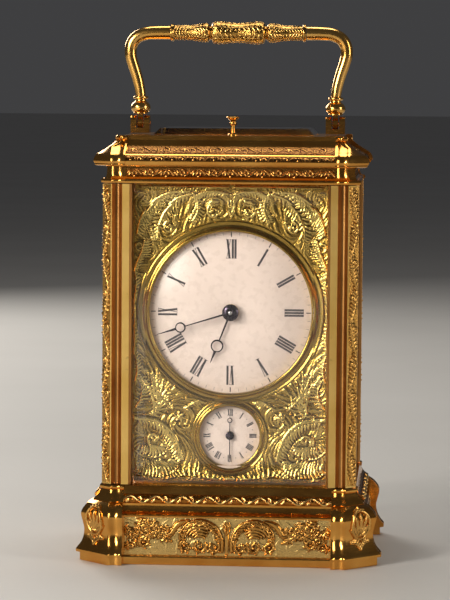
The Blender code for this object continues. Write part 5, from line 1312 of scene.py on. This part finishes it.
def build_dials():
    for node, low, high, z, hole in (
        ("main_dial", DIAL_LOW, DIAL_HIGH, DIAL_Z, 2.8),
        ("alarm_dial", ALARM_LOW, ALARM_HIGH, ALARM_Z, 1.5),
    ):
        radius = (high[0] - low[0]) / 2
        front, back = low[1], high[1]
        profile = [
            (hole, -front - 0.06), (hole + 0.25, -front), (radius - 0.3, -front), (radius, -front - 0.2),
            (radius, -back), (hole, -back),
        ]
        name = f"{node}_enamel"
        piece = lathe_piece(name, profile, 96, (0, 0, z), FORWARD, ENAMEL, "case", closed=True)
        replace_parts(piece, node)
    hours = [(text, radians(30 * hour)) for hour, text in enumerate(NUMERALS)]
    hour_bar = bar(25.4, 27.0, -0.18, 0.18, -0.18, 0.18)
    minute_bar = bar(26.0, 27.0, -0.10, 0.10, -0.10, 0.10)
    half_hour = circle(0.15, 0, 7.9, 10)
    black, small = [], []
    for text, angle in hours:
        black += [(stroke, angle) for stroke in numeral_strokes(text, 18.1, 24.6, 0.70, 0.20, 0.92)]
        black.append((hour_bar, angle))
        small += [(stroke, angle) for stroke in numeral_strokes(text, 6.6, 9.0, 0.36, 0.12, 0.48)]
        small.append((half_hour, angle + radians(15)))
    grey = [(minute_bar, radians(6 * minute)) for minute in range(60) if minute % 5]
    flat_marks("main_numerals", black, DIAL_Z, DIAL_Y, INK)
    flat_marks("minute_marks", grey, DIAL_Z, DIAL_Y, INK_GREY)
    flat_marks("alarm_numerals", small, ALARM_Z, ALARM_LOW[1], INK)


def build_bezels():
    """A bead round the sight, then a cove out to the rim. The smaller bezel is cut back by the larger."""
    flange = MASK_Y - 0.3
    for node, low, high, z, sight, flange_width, segments in (
        ("main_bezel", BEZEL_LOW, BEZEL_HIGH, DIAL_Z, MAIN_SIGHT, 1.0, 160),
        ("alarm_bezel", ALARM_BEZEL_LOW, ALARM_BEZEL_HIGH, ALARM_Z, ALARM_SIGHT, 0.25, 112),
    ):
        rim = (high[0] - low[0]) / 2
        face, back = -low[1], high[1]
        seat = sight + flange_width
        cove_from, cove_to = sight + 1.55, rim - 0.35
        shape = [(sight, -back), (sight, -back + 0.3)]
        for a in np.linspace(-0.3, pi * 0.86, 12):
            shape.append((sight + 0.62 - 0.60 * cos(a), face - 0.45 + 0.45 * sin(a)))
        shape += [(sight + 1.30, face - 0.52), (cove_from, face - 0.74)]
        for t in (0.2, 0.4, 0.6, 0.8, 1.0):
            shape.append((cove_from + (cove_to - cove_from) * t, face - 0.74 - 0.16 * sin(pi * t) + 0.12 * t))
        shape += [(rim - 0.08, face - 0.72), (rim, -flange), (seat, -flange), (seat, -back)]
        mesh = mesh_of(node, *lathe(shape, segments, (0, 0, z), FORWARD, closed=True))
        tidy(mesh)
        if node == "alarm_bezel":
            main_rim = BEZEL_R + CLEARANCE
            outline = [(0.0, 20), (main_rim, 20), (main_rim, -MASK_Y), (0.0, -MASK_Y)]
            room = mesh_of("room", *lathe(outline, 160, (0, 0, DIAL_Z), FORWARD))
            tidy(room)
            mesh = cut_mesh(mesh, [room])
        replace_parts(add_piece(f"{node}_ring", mesh, BEZEL_SHADED_GOLD, "case", 35), node)


# ---- hands ------------------------------------------------------------------------------------------
def hand_mesh(name, outlines, y, thickness, z, angle=0.0):
    """A flat hand. The first outline is its edge and the others are holes."""
    curve = bpy.data.curves.new(name, "CURVE")
    curve.dimensions = "2D"
    curve.fill_mode = "BOTH"
    curve.extrude = thickness / 2 * MM
    for points in outlines:
        spline = curve.splines.new("POLY")
        spline.points.add(len(points) - 1)
        for point, (px, py) in zip(spline.points, points):
            point.co = (px * MM, py * MM, 0, 1)
        spline.use_cyclic_u = True
    carrier = bpy.data.objects.new(name, curve)
    bpy.context.scene.collection.objects.link(carrier)
    bpy.context.view_layer.update()
    graph = bpy.context.evaluated_depsgraph_get()
    mesh = bpy.data.meshes.new_from_object(carrier.evaluated_get(graph))
    bpy.data.objects.remove(carrier)
    turn = Matrix.Rotation(angle, 4, "Y") @ Matrix.Rotation(pi / 2, 4, "X")
    mesh.transform(Matrix.Translation((0, y * MM, z * MM)) @ turn)
    tidy(mesh)
    return mesh


def moon_outline(length, moon_at, moon_r, moon_hole, root, neck, shoulder, boss):
    """A Breguet hand pointing up: boss, tapering shaft, pierced moon, and a slender point."""
    right = [(root / 2, boss * 0.9)]
    low_angle = math.asin(neck / 2 / moon_r)
    right += [(neck / 2, moon_at - moon_r * cos(low_angle))]
    high_angle = math.asin(min(0.9, shoulder / 2 / moon_r))
    right += [
        (moon_r * sin(a), moon_at - moon_r * cos(a)) for a in np.linspace(low_angle, pi - high_angle, 18)[1:]
    ]
    right += [(shoulder / 2 * 0.72, moon_at + moon_r + (length - moon_at - moon_r) * 0.3), (0.05, length)]
    boss_arc = [(boss * cos(a), boss * sin(a)) for a in np.linspace(pi / 2 + 0.2, 2.5 * pi - 0.2, 36)]
    outline = boss_arc + right + [(-px, py) for px, py in reversed(right)]
    return [outline, circle(moon_hole, 0, moon_at + (moon_r - moon_hole) * 0.25, 28)]


def build_hands():
    (_, hour_front, _), (_, hour_back, _) = mm_box("hour_hand")
    (_, alarm_front, _), (_, alarm_back, _) = mm_box("alarm_hand")
    minute_y = mm_box("minute_hand")[1][1] - 0.35
    hour_y = (hour_front + hour_back) / 2
    alarm_y = (alarm_front + alarm_back) / 2

    def hand(name, mesh, body, node=None):
        piece = add_piece(name, mesh, BLUED, body, 30)
        if node:
            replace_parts(piece, node)

    def turned(name, profile, segments, y, z, finish, body, slot):
        lathe_piece(name, profile, segments, (0, y, z), FORWARD, finish, body)

    minute = moon_outline(26.2, 17.6, 1.78, 1.36, 0.62, 0.34, 0.85, 1.6)
    mesh = hand_mesh("minute", minute, minute_y, 0.34, DIAL_Z, MINUTE_ANGLE)
    hand("minute_hand_moon", mesh, "minute_work", "minute_hand")
    hour = moon_outline(18.4, 12.2, 2.15, 1.70, 0.70, 0.42, 0.95, 2.2) + [circle(1.75, 0, 0, 28)]
    mesh = hand_mesh("hour", hour, hour_y, 0.34, DIAL_Z, HOUR_ANGLE)
    hand("hour_hand_moon", mesh, "hour_work", "hour_hand")
    boss = list(smooth_line([(0.0, 1.35), (0.55, 1.3), (0.9, 1.1)], 5))
    boss += [
        (0.95, 0.95), (1.25, 1.02), (1.9, 0.92), (2.5, 0.62), (2.78, 0.25), (2.85, -0.05), (2.85, -0.25),
        (0.0, -0.25),
    ]
    turned("hand_boss", boss, 48, minute_y, DIAL_Z, BLUED, "minute_work", "blued_steel")
    collet = list(smooth_line([(0.0, 1.62), (0.35, 1.58), (0.62, 1.45), (0.72, 1.25)], 5))
    collet += [(0.72, 0.4), (0.0, 0.4)]
    turned("hand_collet", collet, 32, minute_y, DIAL_Z, STEEL, "minute_work", "steel")
    alarm = moon_outline(6.6, 5.2, 0.85, 0.6, 0.36, 0.26, 0.3, 0.9)
    hand("alarm_hand_moon", hand_mesh("alarm", alarm, alarm_y, 0.3, ALARM_Z), "alarm", "alarm_hand")
    tail = [(0.16, -1.0), (0.13, -9.0), (-0.13, -9.0), (-0.16, -1.0)]
    hand("alarm_hand_tail", hand_mesh("tail", [tail], alarm_y, 0.28, ALARM_Z), "alarm")
    small = [
        (0.0, 0.95), (0.3, 0.92), (0.5, 0.8), (0.55, 0.6), (0.9, 0.62), (1.3, 0.45), (1.45, 0.1),
        (1.45, -0.1), (0, -0.1),
    ]
    turned("alarm_boss", small, 36, alarm_y, ALARM_Z, BLUED, "alarm", "blued_steel")


# ---- handle ----------------------------------------------------------------------------------------
ARM_LINE = [
    (33.7, 8.2), (33.8, 10.0), (34.3, 13.0), (35.3, 16.8), (36.5, 20.4), (37.3, 23.6), (37.0, 26.8),
    (35.3, 29.3), (32.2, 30.7), (28.4, 31.05), (23.5, 31.1),
]
KNUCKLE = [
    [(0, 9.4), (1.7, 9.4)],
    [(1.75, 9.35), (2.45, 9.1), (2.62, 8.7), (2.45, 8.3), (1.9, 8.1)],
    [(1.88, 8.05), (1.9, 7.6), (2.05, 7.35)],
    [(2.1, 7.3), (2.75, 6.8), (3.3, 5.9), (3.38, 5.1), (3.15, 4.3), (2.5, 3.6)],
    [(2.4, 3.55), (2.5, 3.3), (2.2, 3.1), (0, 3.1)],
]
GRIP = [
    [(0, 23.7), (2.3, 23.7)],
    [(2.4, 23.65), (2.95, 23.4), (3.1, 22.9), (2.95, 22.3), (2.55, 22.0)],
    [
        (2.5, 21.9), (2.42, 19.5), (2.45, 17.5), (2.6, 15.6), (2.95, 13.6), (3.22, 12.0), (3.2, 10.8),
        (2.95, 10.1),
    ],
    [(2.55, 10.0), (2.5, 9.6), (2.55, 9.25)],
    [(3.0, 9.2), (3.55, 8.6), (3.82, 7.2), (3.85, 6.0), (3.7, 4.4), (3.4, 2.4), (3.25, 0.0)],
]


def profile_line(runs, per_span):
    """One line through the runs, smooth within each that has more than two points."""
    return np.vstack([smooth_line(run, per_span) if len(run) > 2 else run for run in runs])


def build_handle():
    knuckle_profile = profile_line(KNUCKLE, 4)
    hub, neck, neck_top, half_thick, bevel = 2.25, 1.15, 3.6, 0.92, 0.12
    neck_at = math.acos(neck / hub)
    tongue = [(hub * cos(a), hub * sin(a)) for a in np.linspace(neck_at, -pi - neck_at, 28)]
    tongue += [(-neck, neck_top), (neck, neck_top)]
    for side_name, side in (("left", -1), ("right", 1)):
        line = smooth_line([(side * x, 0, PIVOT_Z + rise) for x, rise in ARM_LINE], 8)
        arm = sweep(line, np.linspace(1.68, 2.40, len(line)), 28)
        knuckle = lathe(knuckle_profile, 36, (side * HANDLE_X, 0, PIVOT_Z), UPWARD)
        mesh = merged("arm", [arm, knuckle])
        piece = add_piece(f"handle_arm_{side_name}_smooth", mesh, GILT_LIGHT, "handle", 40)
        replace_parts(piece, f"handle_arm_{side_name}")
        bm = bmesh.new()
        prism(bm, *(
            [(side * HANDLE_X + x, y, PIVOT_Z + z) for y, z in tongue] for x in (-half_thick, half_thick)
        ))
        bmesh.ops.bevel(bm, geom=list(bm.edges), offset=bevel * MM, segments=1, affect="EDGES")
        add_piece(f"handle_tongue_{side_name}", mesh_from(bm, "tongue"), GILT, "handle", 30)
    build_grip()


def build_button():
    """The repeat button's turned head and stem, and the bush that it slides in."""
    low, high = mm_box("repeat_button")
    middle_y = (low[1] + high[1]) / 2
    head = [(0, 0), (1.6, -0.02), (2.1, -0.1), (2.3, -0.3), (2.25, -0.5), (1.7, -0.8), (1.25, -1.3),
            (1.0, -1.7), (0.98, -1.85), (1.25, -2.1), (1.3, -2.5), (1.2, -2.8), (0.85, -3.1), (0.8, -3.4)]
    profile = [(r, high[2] + z) for r, z in head] + [(0.8, low[2]), (0, low[2])]
    piece = lathe_piece(
        "repeat_button_turned", profile, 48, (0, middle_y, 0), UPWARD, GILT_LIGHT, "button"
    )
    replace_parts(piece, "repeat_button")
    bush = [(1.15, 0.0), (1.75, 0.0), (1.75, 0.3), (1.45, 0.55), (1.35, 0.8), (1.15, 0.8)]
    lathe_piece(
        "repeat_bush", bush, 48, (0, middle_y, TOP_Z1 + PROUD), UPWARD, GILT_LIGHT, "case",
        closed=True,
    )


def build_grip():
    """The grip: three turned lobes with leaves cut along them."""
    half = profile_line(GRIP, 6)
    profile = np.vstack([half, half[::-1][1:] * (1, -1)])
    profile = profile[np.argsort(profile[:, 1])]
    around, length, floor = 144, 2 * GRIP_HALF, 0.14
    along = np.linspace(-GRIP_HALF, GRIP_HALF, 300)
    radius = np.interp(along, profile[:, 1], profile[:, 0])
    r = Relief(2 * pi * 3.2, length, 0.155)
    for low, high in ((1.6, 12.6), (14.6, 32.0), (34.0, 45.0)):
        for k in range(6):
            x = (k + 0.5) * r.width / 6
            middle = (low + high) / 2
            for flip in (-1, 1):
                stem = drift((x, middle), 90 * flip, (high - low) / 2, 0, 10)
                plume(r, stem, 1, 6, 1.9, 40, 50, 0.34, 0.22)
                plume(r, stem, -1, 6, 1.9, 40, 50, 0.34, 0.22, stem_wide=0.3)
    for y in (0.9, 13.3, 33.3, 45.7):
        r.stroke([(0, y), (r.width, y)], 0.28, 0.16, keep=0.3)
    xs = np.linspace(0, r.width, around, endpoint=False)
    ix = np.clip((xs / r.width * (r.nx - 1)).astype(int), 0, r.nx - 1)
    iy = np.clip(((along + GRIP_HALF) / length * (r.ny - 1)).astype(int), 0, r.ny - 1)
    at = np.ix_(iy, ix)
    height = r.h[at] - floor
    total = np.maximum(radius[:, None] + height * (radius[:, None] > 2.35), 0.4)
    angle = xs / r.width * 2 * pi
    rows = np.broadcast_to(along[:, None], total.shape)
    points = np.stack([rows, total * np.cos(angle), GRIP_Z + total * np.sin(angle)], -1).reshape(-1, 3)
    mesh = mesh_of("grip", points, ring_faces(len(along), around))
    set_attribute(mesh, "relief", np.clip((height + floor) / 0.25, 0, 1))
    # Painted shade mask for the grip's recesses.
    set_attribute(mesh, "cavity_shade", r.cavity_shade()[at])
    tidy(mesh, caps=True)
    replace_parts(add_piece("handle_grip_engraved", mesh, GRIP_GOLD, "handle", 60), "handle_grip")


# ---- carried-over CAD nodes -------------------------------------------------------------------------
FINISH = {
    "gilt_brass": GILT, "brass": BRASS, "steel": STEEL,
    "blued_steel": BLUED, "enamel": ENAMEL, "glass": GLASS,
}


def dress_nodes():
    slots = {s["node"]: s["material_slot"] for s in frame["record"]["subparts"]}
    for name, obj in NODES.items():
        finish = FINISH[slots[name]]
        if obj.data.materials:
            for i in range(len(obj.data.materials)):
                obj.data.materials[i] = finish
        else:
            obj.data.materials.append(finish)


make_camera()
make_stage()
dress_nodes()
build_mouldings()
build_pillars()
build_mask()
build_bands()
build_pillar_bands()
build_foot_leaves()
build_dials()
build_bezels()
build_hands()
build_handle()
build_button()
